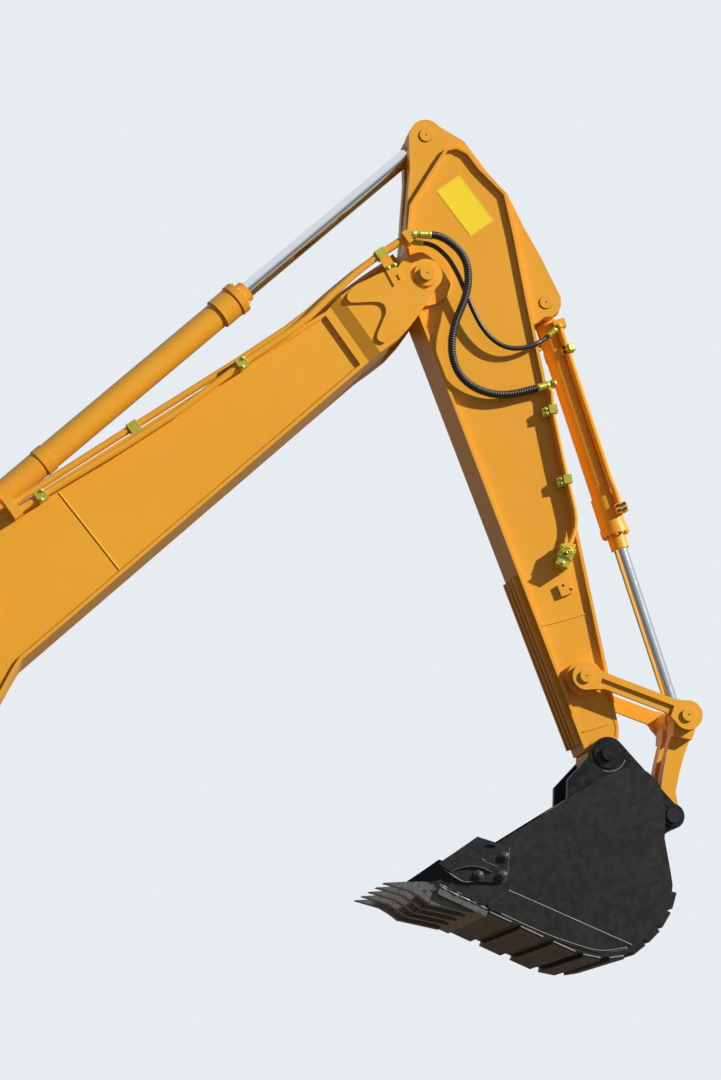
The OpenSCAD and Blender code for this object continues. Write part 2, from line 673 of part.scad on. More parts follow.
// The tube on the bucket cylinder's right side, from its port block to the gland
line_d = 40;
line_off = bucket_barrel_d / 2 + line_d / 2 + 6;
line_side = [-0.86, 0.51];
line_port = [105, 158];
function on_side(x, off) = [x, off * line_side.x, off * line_side.y];
module bucket_cylinder_lines() {
    way_back = -bearing(bucket_cyl_b - bucket_cyl_a);
    hose_stop = turn(tip_pin + hose_end(small_hose_route) - bucket_cyl_a, way_back);
    way = turn(hose_way(small_hose_route), way_back);
    into = [line_port[0] + 27, 62];
    gland_r = 0.61 * 0.93 * bucket_barrel_d;
    end = bucket_gland_start + 70;
    color("orange") along(bucket_cyl_a, bucket_cyl_b) difference() {
        union() {
            tube([
                on_side(line_port[1] - 1, line_off), on_side(220, line_off), on_side(600, line_off),
                on_side(bucket_gland_start - 90, line_off),
                on_side(bucket_gland_start - 20, gland_r + line_d / 2 + 4),
                on_side(end + 10, gland_r + line_d / 2 + 4)
            ], line_d);
            translate([line_port[0], -100, 16]) cube([line_port[1] - line_port[0], 200, 70]);
            translate([end, -118, 18]) cube([56, 70, 68]);
            for (s = [-1, 1]) tube([
                for (p = [
                    [hose_stop + 0.1 * way, 1], [hose_stop + 40 * way, 1],
                    [(hose_stop + 46 * way + into) / 2, 0.78], [into, 0.4]
                ]) [p[0].x, s * p[1] * small_hose_in, p[0].y]
            ], small_hose_d + 6);
        }
        round_bar(bucket_barrel_d + seat, 0, bucket_gland_start);
        round_bar(2 * gland_r + seat, bucket_gland_start - 0.3, bucket_gland_end);
    }
}
module bucket_cylinder_clamp() {
    band = 4;
    at = 262;
    long = 56;
    inset = 5;
    color("olive") along(bucket_cyl_a, bucket_cyl_b) difference() {
        union() {
            round_bar(bucket_barrel_d + 2 * band, at, at + long);
            translate([at, 0, 0]) rotate([atan2(line_side.y, line_side.x) - 90, 0, 0])
                translate([inset, -line_d / 2 - 8, 40])
                    cube([long - 2 * inset, line_d + 16, line_off - 40 + line_d / 2 + 5]);
        }
        round_bar(bucket_barrel_d + seat, at - 1, at + long + 1);
        translate(on_side(0, line_off)) round_bar(line_d + seat, at - 20, at + long + 20);
    }
}
module bucket_rod() {
    color("silver") along(bucket_cyl_a, bucket_cyl_b)
        rod(bucket_rod_d, bucket_eye_d, bucket_cyl_at_rest, bucket_rod_out + rod_tail);
}
module bucket_rod_eye() {
    color("orange") along(bucket_cyl_a, bucket_cyl_b)
        rod_eye(bucket_eye_d, bucket_eye_w, link_pin_d, bucket_rod_d, bucket_cyl_at_rest);
}

// Links
module idler(s) {
    rib = 16;
    span = norm(link_pin_at - idler_pin_at);
    low = -0.33 * idler_bar;
    high = low + idler_bar;
    color("orange") in_arm() difference() {
        slab(idler_t, s * (idler_in + idler_t / 2)) {
            translate(idler_pin_at) circle(d = idler_top_d);
            translate(link_pin_at) circle(d = idler_low_d);
            translate(idler_pin_at) rotate(bearing(link_pin_at - idler_pin_at)) polygon([
                [40, -66], [125, low], [span - 120, low], [span - 40, -70],
                [span - 40, 72], [span - 100, high], [110, high], [40, 66]
            ]);
        }
        slab(rib, s * (idler_out - rib / 2))
            translate(idler_pin_at) rotate(bearing(link_pin_at - idler_pin_at)) polygon([
                [88, low - 50], [span - 92, low - 50], [span - 92, high - 38], [88, high - 38]
            ]);
        bar(idler_pin_at, link_pin_d + 2 * pin_fit, 600);
        bar(link_pin_at, link_pin_d + 2 * pin_fit, 600);
    }
}
module idler_right() { idler(-1); }
module idler_left() { idler(1); }
module link_pins() {
    color("dimgray") in_arm()
        pin(link_pin_at, link_pin_d, bucket_eye_w / 2 + 8, idler_out + 1, 1.06 * link_pin_d, link_head);
}
module bucket_link() {
    span = norm(h_pin_at - link_pin_at);
    wide = idler_in - side_gap;
    slot = bucket_eye_w / 2 + 6;
    leg = h_link_leg / 2;
    low_d = 144;
    front_edge = concat([[0, leg + 24]],
        curve([0.2 * span, leg + 4], [0.45 * span, leg - 34], [0.75 * span, leg - 36]),
        [[span, 0.42 * low_d]]);
    back_edge = concat([[span, -0.42 * low_d]], curve([0.8 * span, -leg - 22], [0.5 * span, -leg - 32],
        [0.2 * span, -leg - 10]), [[0, -leg - 20]]);
    color("orange") along(from_arm(link_pin_at), from_arm(h_pin_at)) difference() {
        union() {
            pair(slot, wide) {
                circle(d = idler_low_d - 12);
                intersection() {
                    polygon(concat(front_edge, back_edge));
                    square(0.44 * span, center = true);
                }
            }
            pair(slot, boss_half) polygon(concat(front_edge, back_edge));
            slab(2 * slot + 2) intersection() {
                polygon(concat(front_edge, backward([for (p = front_edge) p - [0, 36]])));
                translate([0.32 * span, -300]) square([0.6 * span, 600]);
            }
            slab(2 * boss_half) translate([span, 0]) circle(d = low_d);
        }
        bar([0, 0], link_pin_d + 2 * pin_fit, 600);
        bar([span, 0], link_pin_d + 2, 600);
    }
}

// Bucket, in its own frame
bucket_size = tip_radius / 1540;
lip_start = 1120 * bucket_size;
lip_end = 1290 * bucket_size;
lip_fall = 1.39;
lip_raise = (lip_t - 5) * unit([lip_fall, 1]);
wrap_depth = (wrap_t + seat) * unit([lip_fall, 1]);
function sized(pts) = [for (p = pts) bucket_size * p];
function lip_line(x) = bucket_size * (758 + 869 * lip_fall) - x * lip_fall;
function lip_at(x) = [x, lip_line(x)];
back_line = concat(
    sized(concat(
        curve([200, 100], [-20, 90], [-58, 250], 5), curve([-58, 300], [-45, 400], [69, 553], 3),
        curve([135, 727], [195, 940], [544, 985], 6), curve([600, 980], [760, 930], [869, 758], 4)
    )),
    [lip_at(lip_start), lip_at(lip_end)]
);
mouth_corner = bucket_size * [874, 120];
bucket_outline = concat(back_line, [mouth_corner]);
// An open line of points moved to its left by t
function drawn_line(pts, t) =
    [for (i = [0:len(pts) - 1])
        let (d = unit(pts[max(i, 1)] - pts[max(i, 1) - 1]),
             e = unit(pts[min(i, len(pts) - 2) + 1] - pts[min(i, len(pts) - 2)]),
             m = [-d.y - e.y, d.x + e.x])
        pts[i] + m * t / (1 + d.x * e.x + d.y * e.y)];
module bucket_wrapper() {
    inner_w = bucket_w - 2 * side_t;
    color("#3c3c3e") in_bucket() slab(inner_w) {
        polygon(concat(back_line, backward(drawn_line(back_line, -wrap_t))));
        polygon(concat(
            [for (i = [0:8]) back_line[i]], sized([[60, 490], [140, 345], [345, 135], [345, 112]])
        ));
    }
}
module bucket_sides() {
    seam = sized([[-54, 278], [975, 364], [1115, 380]]);
    lip_side = sized([[1140, 372], [1262, 180]]);
    ledge = 3;
    color("#3c3c3e") in_bucket() {
        pair(bucket_w / 2 - side_t, bucket_w / 2) polygon(bucket_outline);
        pair(bucket_w / 2 - 1, bucket_w / 2 + strip_t) {
            polygon(drawn_in(backward(concat(
                [for (i = [0:5]) back_line[i]], seam, lip_side, [mouth_corner]
            )), ledge));
            polygon(concat([seam[1] + [0, ledge]], sized([
                [532, 950], [562, 956], [680, 911], [769, 838], [917, 671], [1074, 459], [1118, 402]
            ]), [seam[2] + [-ledge, 2 * ledge]]));
        }
    }
}
module bucket_lip() {
    color("#3c3c3e") in_bucket() slab(bucket_w) polygon([
        lip_at(lip_start) + lip_raise, lip_at(lip_end) + lip_raise, lip_at(lip_end), lip_at(lip_start)
    ]);
}
module bucket_ears() {
    color("#3c3c3e") in_bucket() difference() {
        union() {
            pair(bucket_ear_in, bucket_ear_out) difference() {
                union() {
                    circle(r = 96);
                    translate(ear_pin_at) circle(r = 72);
                    polygon(concat(sized([[90, -44], [277, 12], [340, 112], [200, 300], [40, 560]]),
                        [ear_pin_at + [40, 60], ear_pin_at + [-66, 28], [-92, -28]]));
                }
                polygon(bucket_outline);
            }
            bars([0, 0], 162, bucket_ear_out - 1, bucket_ear_out + ear_hub);
            bars(ear_pin_at, 122, bucket_ear_out - 1, bucket_ear_out + ear_pin_hub);
        }
        bar([0, 0], link_pin_d + 2 * pin_fit, 700);
        bar(ear_pin_at, link_pin_d + 2 * pin_fit, 700);
    }
}
module each_tooth() {
    pitch = (bucket_w - 50) / (teeth - 1) - tooth_w / (teeth - 1);
    for (i = [0:teeth - 1]) translate([0, (i - (teeth - 1) / 2) * pitch, 0]) children();
}
tooth_outline = sized([
    [1540, 0], [1437, 52], [1303, 127], [1313, 160], [1338, 190], [1379, 219], [1402, 165], [1434, 108]
]);
module bucket_teeth() {
    color("#333335") in_bucket() each_tooth() slab(tooth_w) polygon(tooth_outline);
}
// An adapter grips the lip from both sides, and its lower leg runs out flush with the lip's underside
module tooth_adapters() {
    color("#333335") in_bucket() each_tooth() difference() {
        slab(tooth_w - 8) polygon(sized([
            [1302, 130], [1262, 136], [1172, 282], [1186, 370], [1197, 383], [1378, 221],
            [1338, 190], [1313, 160]
        ]));
        slab(tooth_w) polygon([
            lip_at(lip_start) + lip_raise, lip_at(lip_end) + lip_raise, lip_at(lip_end) - wrap_depth,
            lip_at(lip_start - 200) - wrap_depth, lip_at(lip_start - 200), lip_at(lip_start)
        ]);
    }
}
module side_cutters() {
    base = bucket_w / 2 + strip_t;
    color("#3c3c3e") in_bucket() {
        pair(base, base + 16) polygon(sized([
            [1246, 59], [1218, 115], [1173, 203], [988, 316], [953, 312], [854, 173], [897, 122], [977, 37]
        ]));
        pair(base + 15, base + 30) polygon(sized(concat(
            [[1240, 56], [979, 40], [900, 124]], curve([915, 132], [955, 80], [1008, 116], 4),
            curve([1022, 150], [1000, 190], [962, 236], 3), curve([1010, 240], [1080, 140], [1205, 128], 4)
        )));
    }
}
// Plates across the bucket's bottom and heel, each given by where it starts and ends on the outline
wear_spans = sized([
    [1117, 413], [1040, 520], [1008, 565], [929, 675], [894, 723], [816, 829], [788, 862], [714, 926],
    [672, 950], [598, 979], [552, 985], [468, 974], [445, 970], [362, 948], [345, 940], [262, 895],
    [248, 884], [183, 822]
]);
module wear_plates() {
    color("#3c3c3e") in_bucket() slab(bucket_w) difference() {
        for (i = [0:2:len(wear_spans) - 2]) {
            p = wear_spans[i];
            q = wear_spans[i + 1];
            out = turn(unit(p - q), -90);
            polygon([p - 25 * out, p + wear_t * out, q + wear_t * out, q - 25 * out]);
        }
        polygon(bucket_outline);
    }
}
module bucket_pin() {
    color("#2c2c2e") in_bucket() pin([0, 0], link_pin_d, 0, bucket_ear_out + ear_hub, 1.17 * link_pin_d);
}
module bucket_link_pins() {
    color("#2c2c2e") in_bucket()
        pin(ear_pin_at, link_pin_d, bucket_ear_in, bucket_ear_out + ear_pin_hub, 1.17 * link_pin_d);
}

// Hoses
module hose(route, d, s, from, to) {
    color("#1c1c1c") translate([tip_pin.x, 0, tip_pin.y]) tube(hose_line(route, s, from, to), d);
}
module large_hose_right() { hose(large_hose_route, hose_d, -1, large_hose_out, arm_pipe_y); }
module large_hose_left() { hose(large_hose_route, hose_d, 1, large_hose_out, arm_pipe_y); }
module small_hose_right() { hose(small_hose_route, small_hose_d, -1, small_hose_out, small_hose_in); }
module small_hose_left() { hose(small_hose_route, small_hose_d, 1, small_hose_out, small_hose_in); }
// Steel ends of the hoses, from the blocks' faces to where the hoses start
module hose_ends() {
    large = large_hose_route[0];
    small = small_hose_route[0];
    face = pipe_end + block_l;
    color("olive") translate([tip_pin.x, 0, tip_pin.y]) for (s = [-1, 1]) {
        a = turn([face, 246], front_rise);
        b = turn([face, 224], front_rise);
        m = posed(large);
        n = posed(small);
        u = unit(posed(large_hose_route[1]) - m);
        v = unit(posed(small_hose_route[1]) - n);
        w = turn([1, 0], front_rise);
        tube([for (p = [a, a + 16 * w, m - 70 * u, m]) [p.x, s * large_hose_out, p.y]], hose_d + 6);
        tube([for (p = [b, b + 12 * w, n - 30 * v, n]) [p.x, s * small_hose_out, p.y]], small_hose_d + 6);
    }
}
// Round tube along a route of points that never runs straight across the machine
module tube(pts, d, sides = 10) {
    n = len(pts);
    rings = [for (i = [0:n - 1])
        let (t = unit(pts[min(i + 1, n - 1)] - pts[max(i - 1, 0)]),
             a = unit(cross(t, [0, 1, 0])), b = cross(a, t))
        for (k = [0:sides - 1]) pts[i] + d / 2 * (a * cos(360 * k / sides) + b * sin(360 * k / sides))];
    polyhedron(rings, concat(
        [[for (k = [sides - 1:-1:0]) k]], [[for (k = [0:sides - 1]) (n - 1) * sides + k]],
        [for (i = [0:n - 2]) for (k = [0:sides - 1])
            [i * sides + k, i * sides + (k + 1) % sides,
             (i + 1) * sides + (k + 1) % sides, (i + 1) * sides + k]]
    ));
}

boom_box();
boom_tip_fork();
boom_foot();
boom_lift_boss();
arm_cylinder_bracket();
boom_pipes();
boom_clamps();
hose_blocks();
hose_ends();
arm_pivot_pin();
arm_cylinder_base_pin();
arm_box();
arm_head();
arm_pivot_boss();
arm_tip_boss();
arm_link_boss();
arm_belly_bars();
arm_pipes();
arm_valves();
arm_clamps();
arm_rod_pins();
bucket_cylinder_pin();
idler_pin();
arm_barrel();
arm_gland();
arm_cylinder_lines();
arm_rod();
arm_rod_eye();
bucket_barrel();
bucket_gland();
bucket_cylinder_lines();
bucket_cylinder_clamp();
bucket_rod();
bucket_rod_eye();
idler_right();
idler_left();
link_pins();
bucket_link();
bucket_wrapper();
bucket_sides();
bucket_lip();
bucket_ears();
tooth_adapters();
bucket_teeth();
side_cutters();
wear_plates();
bucket_pin();
bucket_link_pins();
large_hose_right();
large_hose_left();
small_hose_right();
small_hose_left();
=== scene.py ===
import json
from math import atan2, cos, degrees, pi, radians, sin

import bmesh
import bpy
from mathutils import Matrix, Vector, noise


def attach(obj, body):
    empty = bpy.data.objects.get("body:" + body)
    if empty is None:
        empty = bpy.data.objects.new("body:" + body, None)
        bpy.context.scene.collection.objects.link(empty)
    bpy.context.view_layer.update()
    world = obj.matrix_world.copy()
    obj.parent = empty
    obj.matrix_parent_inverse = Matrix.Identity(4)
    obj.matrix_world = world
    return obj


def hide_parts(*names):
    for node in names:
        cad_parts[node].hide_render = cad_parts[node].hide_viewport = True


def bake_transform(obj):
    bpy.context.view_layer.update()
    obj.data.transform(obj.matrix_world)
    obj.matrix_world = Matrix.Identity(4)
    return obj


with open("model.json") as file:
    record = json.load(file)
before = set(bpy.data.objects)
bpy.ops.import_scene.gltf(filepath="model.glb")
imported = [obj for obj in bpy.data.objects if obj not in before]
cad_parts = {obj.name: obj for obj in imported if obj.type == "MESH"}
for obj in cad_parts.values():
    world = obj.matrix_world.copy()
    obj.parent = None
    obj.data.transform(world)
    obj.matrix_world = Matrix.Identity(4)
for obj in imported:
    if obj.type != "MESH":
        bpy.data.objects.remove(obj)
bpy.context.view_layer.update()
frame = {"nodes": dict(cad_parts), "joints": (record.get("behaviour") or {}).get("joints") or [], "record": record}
scene = bpy.context.scene
nodes = frame["nodes"]
joints = {j["name"]: j for j in frame["joints"]}
print("loaded", len(nodes), "nodes")

# How the boom's front and the bucket lie in the picture, in degrees up from level
bearings = {"boomFront": 35.5, "bucket": -149.8}


# The part's own frames: x along the section, y across the machine, z square to both
def frameAt(origin, bearing):
    along = Vector((cos(radians(bearing)), 0, sin(radians(bearing))))
    across = Vector((0, 1, 0))
    turn = Matrix((along, across, along.cross(across))).transposed()
    return Matrix.Translation(Vector(origin)) @ turn.to_4x4()


def bearingOf(v):
    return degrees(atan2(v[2], v[0]))


def cylinderFrame(name):
    # x runs up the cylinder from its foot pin
    return frameAt(joints[name + "_tilt"]["pos_m"], bearingOf(joints[name + "_stroke"]["axis"]))


tipPin = Vector(joints["arm_swing"]["pos_m"])
bucketPin = Vector(joints["bucket_curl"]["pos_m"])
frames = {
    "whole": Matrix.Identity(4),
    "front": frameAt(tipPin, bearings["boomFront"]),
    "arm": frameAt(tipPin, bearingOf(bucketPin - tipPin)),
    "bucket": frameAt(bucketPin, bearings["bucket"]),
    "armCylinder": cylinderFrame("arm_cylinder"),
    "bucketCylinder": cylinderFrame("bucket_cylinder"),
}

# Camera: it stands on the ground a long way off and looks up
view = {
    "from": tipPin + Vector((-2.878, -17.0735, -5.099)), "turn": 8.45, "up": 11.754,
    "lens": 103.33, "sensor": 36, "reach": 200}
cameraData = bpy.data.cameras.new("camera")
cameraData.lens = view["lens"]
cameraData.sensor_width = view["sensor"]
cameraData.clip_end = view["reach"]
camera = bpy.data.objects.new("camera", cameraData)
scene.collection.objects.link(camera)
camera.location = view["from"]
look = Vector((
    sin(radians(view["turn"])) * cos(radians(view["up"])),
    cos(radians(view["turn"])) * cos(radians(view["up"])),
    sin(radians(view["up"])),
))
camera.rotation_euler = look.to_track_quat("-Z", "Y").to_euler()
scene.camera = camera
print("camera at", [round(v, 3) for v in view["from"]])


# Mesh tools. Each adds to a bmesh that makePiece turns into an object
def smoothLine(points, step):
    # a curve through all the points, cut into steps of about the given length
    out = []
    for i in range(len(points) - 1):
        a, b, c, d = (Vector(points[min(max(k, 0), len(points) - 1)]) for k in (i - 1, i, i + 1, i + 2))
        count = max(2, round((c - b).length / step))
        for k in range(count):
            t = k / count
            out.append(0.5 * (
                2 * b + (c - a) * t + (2 * a - 5 * b + 4 * c - d) * t * t + (3 * b - a - 3 * c + d) * t ** 3))
    return out + [Vector(points[-1])]


def addSkin(bm, rings):
    # faces between one ring and the next, and a cap at each end
    sides = len(rings[0])
    for a, b in zip(rings, rings[1:]):
        for k in range(sides):
            bm.faces.new((a[k], a[(k + 1) % sides], b[(k + 1) % sides], b[k]))
    bm.faces.new(rings[0][::-1])
    bm.faces.new(rings[-1])


def addTube(bm, points, radius, sides=16, spiral=None):
    rings = []
    travelled = 0.0
    side = Vector((0, 1, 0))
    for i, p in enumerate(points):
        way = (points[min(i + 1, len(points) - 1)] - points[max(i - 1, 0)]).normalized()
        if i:
            travelled += (p - points[i - 1]).length
        side = (side - way * side.dot(way)).normalized()
        up = way.cross(side)
        ring = []
        for k in range(sides):
            turn = 2 * pi * k / sides
            r = radius(i) if callable(radius) else radius
            if spiral:
                r += spiral["high"] * (abs(sin(pi * travelled / spiral["pitch"] + turn / 2)) - 0.5)
            ring.append(bm.verts.new(p + r * (cos(turn) * side + sin(turn) * up)))
        rings.append(ring)
    addSkin(bm, rings)


def addTurned(bm, profile, centre, axis, sides=24):
    # profile is pairs of height along the axis and radius, from the foot to the top
    up = Vector(axis).normalized()
    side = up.orthogonal().normalized()
    over = up.cross(side)
    rings = []
    for high, r in profile:
        middle = Vector(centre) + high * up
        r = max(r, 0.0004)
        rings.append([
            bm.verts.new(middle + r * (cos(2 * pi * k / sides) * side + sin(2 * pi * k / sides) * over))
            for k in range(sides)])
    addSkin(bm, rings)


def addBolt(bm, centre, axis, across, washer=1.45):
    # hex head on a washer, with the shank's end in its middle; across is its width over the flats
    r = across / 2 / cos(pi / 6)
    high = 0.62 * across
    if washer:
        plate = [(-0.002, washer * r), (0.1 * across, washer * r), (0.13 * across, 0.93 * washer * r)]
        addTurned(bm, plate, centre, axis)
    addTurned(bm, [(0.0, r), (0.85 * high, r), (high, 0.86 * r), (high + 0.0005, 0.6 * r)], centre, axis, 6)
    end = [(high, 0.42 * r), (high + 0.1 * across, 0.4 * r), (high + 0.14 * across, 0.3 * r)]
    addTurned(bm, end, centre, axis, 12)


def addSocketBolt(bm, centre, axis, d):
    # cap bolt: a round head with a hollow in its top
    head = [(-0.002, 0.5 * d), (0.6 * d, 0.5 * d), (0.66 * d, 0.46 * d)]
    head += [(0.66 * d, 0.28 * d), (0.3 * d, 0.27 * d)]
    addTurned(bm, head, centre, axis, 18)


def addPlate(bm, outline, y0, y1):
    low = [bm.verts.new((x, y0, z)) for x, z in outline]
    top = [bm.verts.new((x, y1, z)) for x, z in outline]
    bm.faces.new(low)
    bm.faces.new(top[::-1])
    for i in range(len(outline)):
        j = (i + 1) % len(outline)
        bm.faces.new((low[i], low[j], top[j], top[i]))


bead = {"step": 0.006, "sides": 8, "ripplePitch": 0.017, "grain": 60}


def addBead(bm, points, wide, ripple=0.12, ragged=0.06):
    # weld bead: a low ridge whose ripples follow one another along the seam
    line = smoothLine([Vector(p) for p in points], bead["step"])
    reach = [0.0]
    for a, b in zip(line, line[1:]):
        reach.append(reach[-1] + (b - a).length)

    def halfWidth(i):
        wave = ripple * abs(sin(pi * reach[i] / bead["ripplePitch"]))
        return wide * (1 - ripple - ragged + wave + ragged * noise.noise(line[i] * bead["grain"]))

    addTube(bm, line, halfWidth, bead["sides"])


edges = {"segments": 2, "angle": 35, "cadWidth": 0.004}


def roundEdges(piece, width):
    cut = piece.modifiers.new("edges", "BEVEL")
    cut.width = width
    cut.segments = edges["segments"]
    cut.limit_method = "ANGLE"
    cut.angle_limit = radians(edges["angle"])
    cut.harden_normals = True


def makePiece(bm, name, body, place="whole", material=None, smooth=True, bevel=0.0):
    bmesh.ops.recalc_face_normals(bm, faces=bm.faces)
    bm.transform(frames[place])
    mesh = bpy.data.meshes.new(name)
    bm.to_mesh(mesh)
    bm.free()
    piece = bpy.data.objects.new(name, mesh)
    scene.collection.objects.link(piece)
    if material:
        mesh.materials.append(material)
    for face in mesh.polygons:
        face.use_smooth = smooth
    if bevel:
        roundEdges(piece, bevel)
    if body:
        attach(piece, body)
    return piece


# Hoses, from the boom's blocks to the arm. Each row of a route is x and z from the arm's pivot, and how far
# the point has come in from the boom's side to the arm's side
largeHose = {
    "d": 0.040, "guard": 0.0015, "spiral": {"pitch": 0.0145, "high": 0.006}, "step": 0.0036, "every": 5,
    "sleeve": {"long": 0.072, "r": 0.0245, "nut": 0.052, "nutLong": 0.030},
    "from": 0.272, "to": 0.197, "route": [
        (0.020, 0.234, 0), (0.060, 0.232, 0), (0.105, 0.216, 0.02), (0.150, 0.187, 0.04),
        (0.192, 0.148, 0.06), (0.224, 0.098, 0.08), (0.240, 0.040, 0.1), (0.243, -0.020, 0.13),
        (0.236, -0.084, 0.17),
        (0.214, -0.160, 0.26), (0.184, -0.237, 0.38), (0.160, -0.320, 0.5), (0.152, -0.400, 0.62),
        (0.160, -0.475, 0.72), (0.184, -0.540, 0.81), (0.226, -0.596, 0.88), (0.288, -0.640, 0.93),
        (0.366, -0.668, 0.97), (0.446, -0.676, 0.99), (0.530, -0.664, 1), (0.600, -0.645, 1),
        (0.660, -0.627, 1)]}
smallHose = {
    "d": 0.028, "guard": 0.0, "spiral": None, "step": 0.015, "every": 2,
    "sleeve": {"long": 0.060, "r": 0.0185, "nut": 0.038, "nutLong": 0.024},
    "from": 0.222, "to": 0.160, "route": [
        (-0.020, 0.200, 0), (0.018, 0.196, 0), (0.060, 0.180, 0), (0.100, 0.150, 0), (0.138, 0.110, 0),
        (0.170, 0.060, 0.02), (0.198, 0.008, 0.04), (0.226, -0.060, 0.06), (0.256, -0.130, 0.09),
        (0.288, -0.204, 0.12), (0.328, -0.277, 0.16), (0.378, -0.338, 0.2), (0.440, -0.382, 0.24),
        (0.508, -0.400, 0.28), (0.576, -0.394, 0.33), (0.640, -0.371, 0.4), (0.670, -0.353, 0.52),
        (0.704, -0.328, 1), (0.733, -0.302, 1)]}
hoseSides = 14


def hoseLine(hose, side, step):
    inward = hose["to"] - hose["from"]
    return smoothLine([
        tipPin + Vector((x, side * (hose["from"] + share * inward), z))
        for x, z, share in hose["route"]], step)


def makeHose(hose, side, name):
    line = hoseLine(hose, side, hose["step"])
    bm = bmesh.new()
    addTube(bm, line, hose["d"] / 2 + hose["guard"], hoseSides, hose["spiral"])
    piece = makePiece(bm, name, None)
    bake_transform(piece)
    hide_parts(name.replace("Hose", "_hose").replace("Right", "_right").replace("Left", "_left"))
    return piece


hoses = []
for word, side in (("Right", -1), ("Left", 1)):
    hoses.append(makeHose(largeHose, side, "largeHose" + word))
    hoses.append(makeHose(smallHose, side, "smallHose" + word))
print("hoses", len(hoses))


# Materials. Colour, roughness and normal come from shared groups, everything else sits on the shader
def makeGroup(name, inputs, outputs):
    group = bpy.data.node_groups.new(name, "ShaderNodeTree")
    for label, kind, value in inputs:
        socket = group.interface.new_socket(label, in_out="INPUT", socket_type=kind)
        socket.default_value = value
    for label, kind in outputs:
        group.interface.new_socket(label, in_out="OUTPUT", socket_type=kind)
    return group, group.nodes.new("NodeGroupInput"), group.nodes.new("NodeGroupOutput")


def noiseNode(tree, where, scale, detail):
    texture = tree.nodes.new("ShaderNodeTexNoise")
    texture.inputs["Scale"].default_value = scale
    texture.inputs["Detail"].default_value = detail
    tree.links.new(where, texture.inputs["Vector"])
    return texture.outputs["Fac"]


def rangeNode(tree, value, low, high, toLow, toHigh):
    node = tree.nodes.new("ShaderNodeMapRange")
    for label, number in (("From Min", low), ("From Max", high), ("To Min", toLow), ("To Max", toHigh)):
        node.inputs[label].default_value = number
    tree.links.new(value, node.inputs["Value"])
    return node.outputs["Result"]


def mathNode(tree, operation, *values):
    node = tree.nodes.new("ShaderNodeMath")
    node.operation = operation
    for i, value in enumerate(values):
        tree.links.new(value, node.inputs[i])
    return node.outputs[0]


def mixNode(tree, amount, a, b, way="MIX"):
    node = tree.nodes.new("ShaderNodeMix")
    node.data_type = "RGBA"
    node.blend_type = way
    for socket, value in ((0, amount), (6, a), (7, b)):  # a colour mix takes its factor, A and B there
        if isinstance(value, tuple):
            node.inputs[socket].default_value = value
        else:
            tree.links.new(value, node.inputs[socket])
    return node.outputs[2]


def bumpNode(tree, height, distance, normal=None):
    node = tree.nodes.new("ShaderNodeBump")
    node.inputs["Distance"].default_value = distance
    tree.links.new(height, node.inputs["Height"])
    if normal:
        tree.links.new(normal, node.inputs["Normal"])
    return node.outputs["Normal"]


def facingMask(tree, axis, low, high):
    # 0 to 1 as the surface turns along one of the piece's own axes; it moves with the piece
    parts = tree.nodes.new("ShaderNodeSeparateXYZ")
    tree.links.new(tree.nodes.new("ShaderNodeTexCoord").outputs["Normal"], parts.inputs["Vector"])
    value = parts.outputs[axis]
    if axis == "Y":
        value = mathNode(tree, "ABSOLUTE", value)
    return rangeNode(tree, value, low, high, 0.0, 1.0)


def surfaceGroup(name, look):
    group, start, end = makeGroup(
        name,
        [("Color", "NodeSocketColor", (0.8, 0.8, 0.8, 1)), ("Roughness", "NodeSocketFloat", 0.4)],
        [("Color", "NodeSocketColor"), ("Roughness", "NodeSocketFloat"), ("Normal", "NodeSocketVector")],
    )
    where = group.nodes.new("ShaderNodeTexCoord").outputs["Object"]
    wide = noiseNode(group, where, look["patches"], 4)
    fine = noiseNode(group, where, look["mottle"], 3)
    shaded = rangeNode(group, wide, 0.35, 0.7, 0.0, look["shade"])
    tone = mixNode(group, shaded, start.outputs["Color"], look["deep"], "MULTIPLY")
    tone = mixNode(group, rangeNode(group, fine, 0.45, 0.75, 0.0, look["speck"]), tone, look["dust"])
    facing = group.nodes.new("ShaderNodeSeparateXYZ")
    group.links.new(group.nodes.new("ShaderNodeNewGeometry").outputs["Normal"], facing.inputs["Vector"])
    top = rangeNode(group, facing.outputs["Z"], 0.3, 1.0, 0.0, look["settled"])
    dusty = mathNode(group, "MULTIPLY", top, rangeNode(group, wide, 0.3, 0.65, 0.2, 1.0))
    tone = mixNode(group, dusty, tone, look["dust"])
    # Flanks facing across the machine get a lighter steel colour: partly a painted highlight standing for sunlight
    # on them, partly scuffing noise
    if "side" in look:
        flank = facingMask(group, "Y", 0.75, 0.95)
        sunlitAndScuffed = mathNode(group, "MULTIPLY", flank, rangeNode(group, fine, 0.35, 0.6, 0.55, 1.0))
        tone = mixNode(group, sunlitAndScuffed, tone, look["side"])
    # Downward faces take a warm brown tint: a painted reflection of the ground beneath
    if "under" in look:
        belly = facingMask(group, "Z", -0.1, -0.6)
        reflectionShare = mathNode(group, "MULTIPLY", belly, rangeNode(group, wide, 0.3, 0.7, 0.35, 1.0))
        tone = mixNode(group, reflectionShare, tone, look["under"])
    group.links.new(tone, end.inputs["Color"])
    uneven = rangeNode(group, fine, 0.3, 0.7, -look["vary"], look["vary"])
    group.links.new(mathNode(group, "ADD", start.outputs["Roughness"], uneven), end.inputs["Roughness"])
    wavy = bumpNode(group, noiseNode(group, where, look["wave"], 2), look["waveHigh"])
    peeled = bumpNode(group, noiseNode(group, where, look["peel"], 2), look["peelHigh"], wavy)
    group.links.new(peeled, end.inputs["Normal"])
    return group


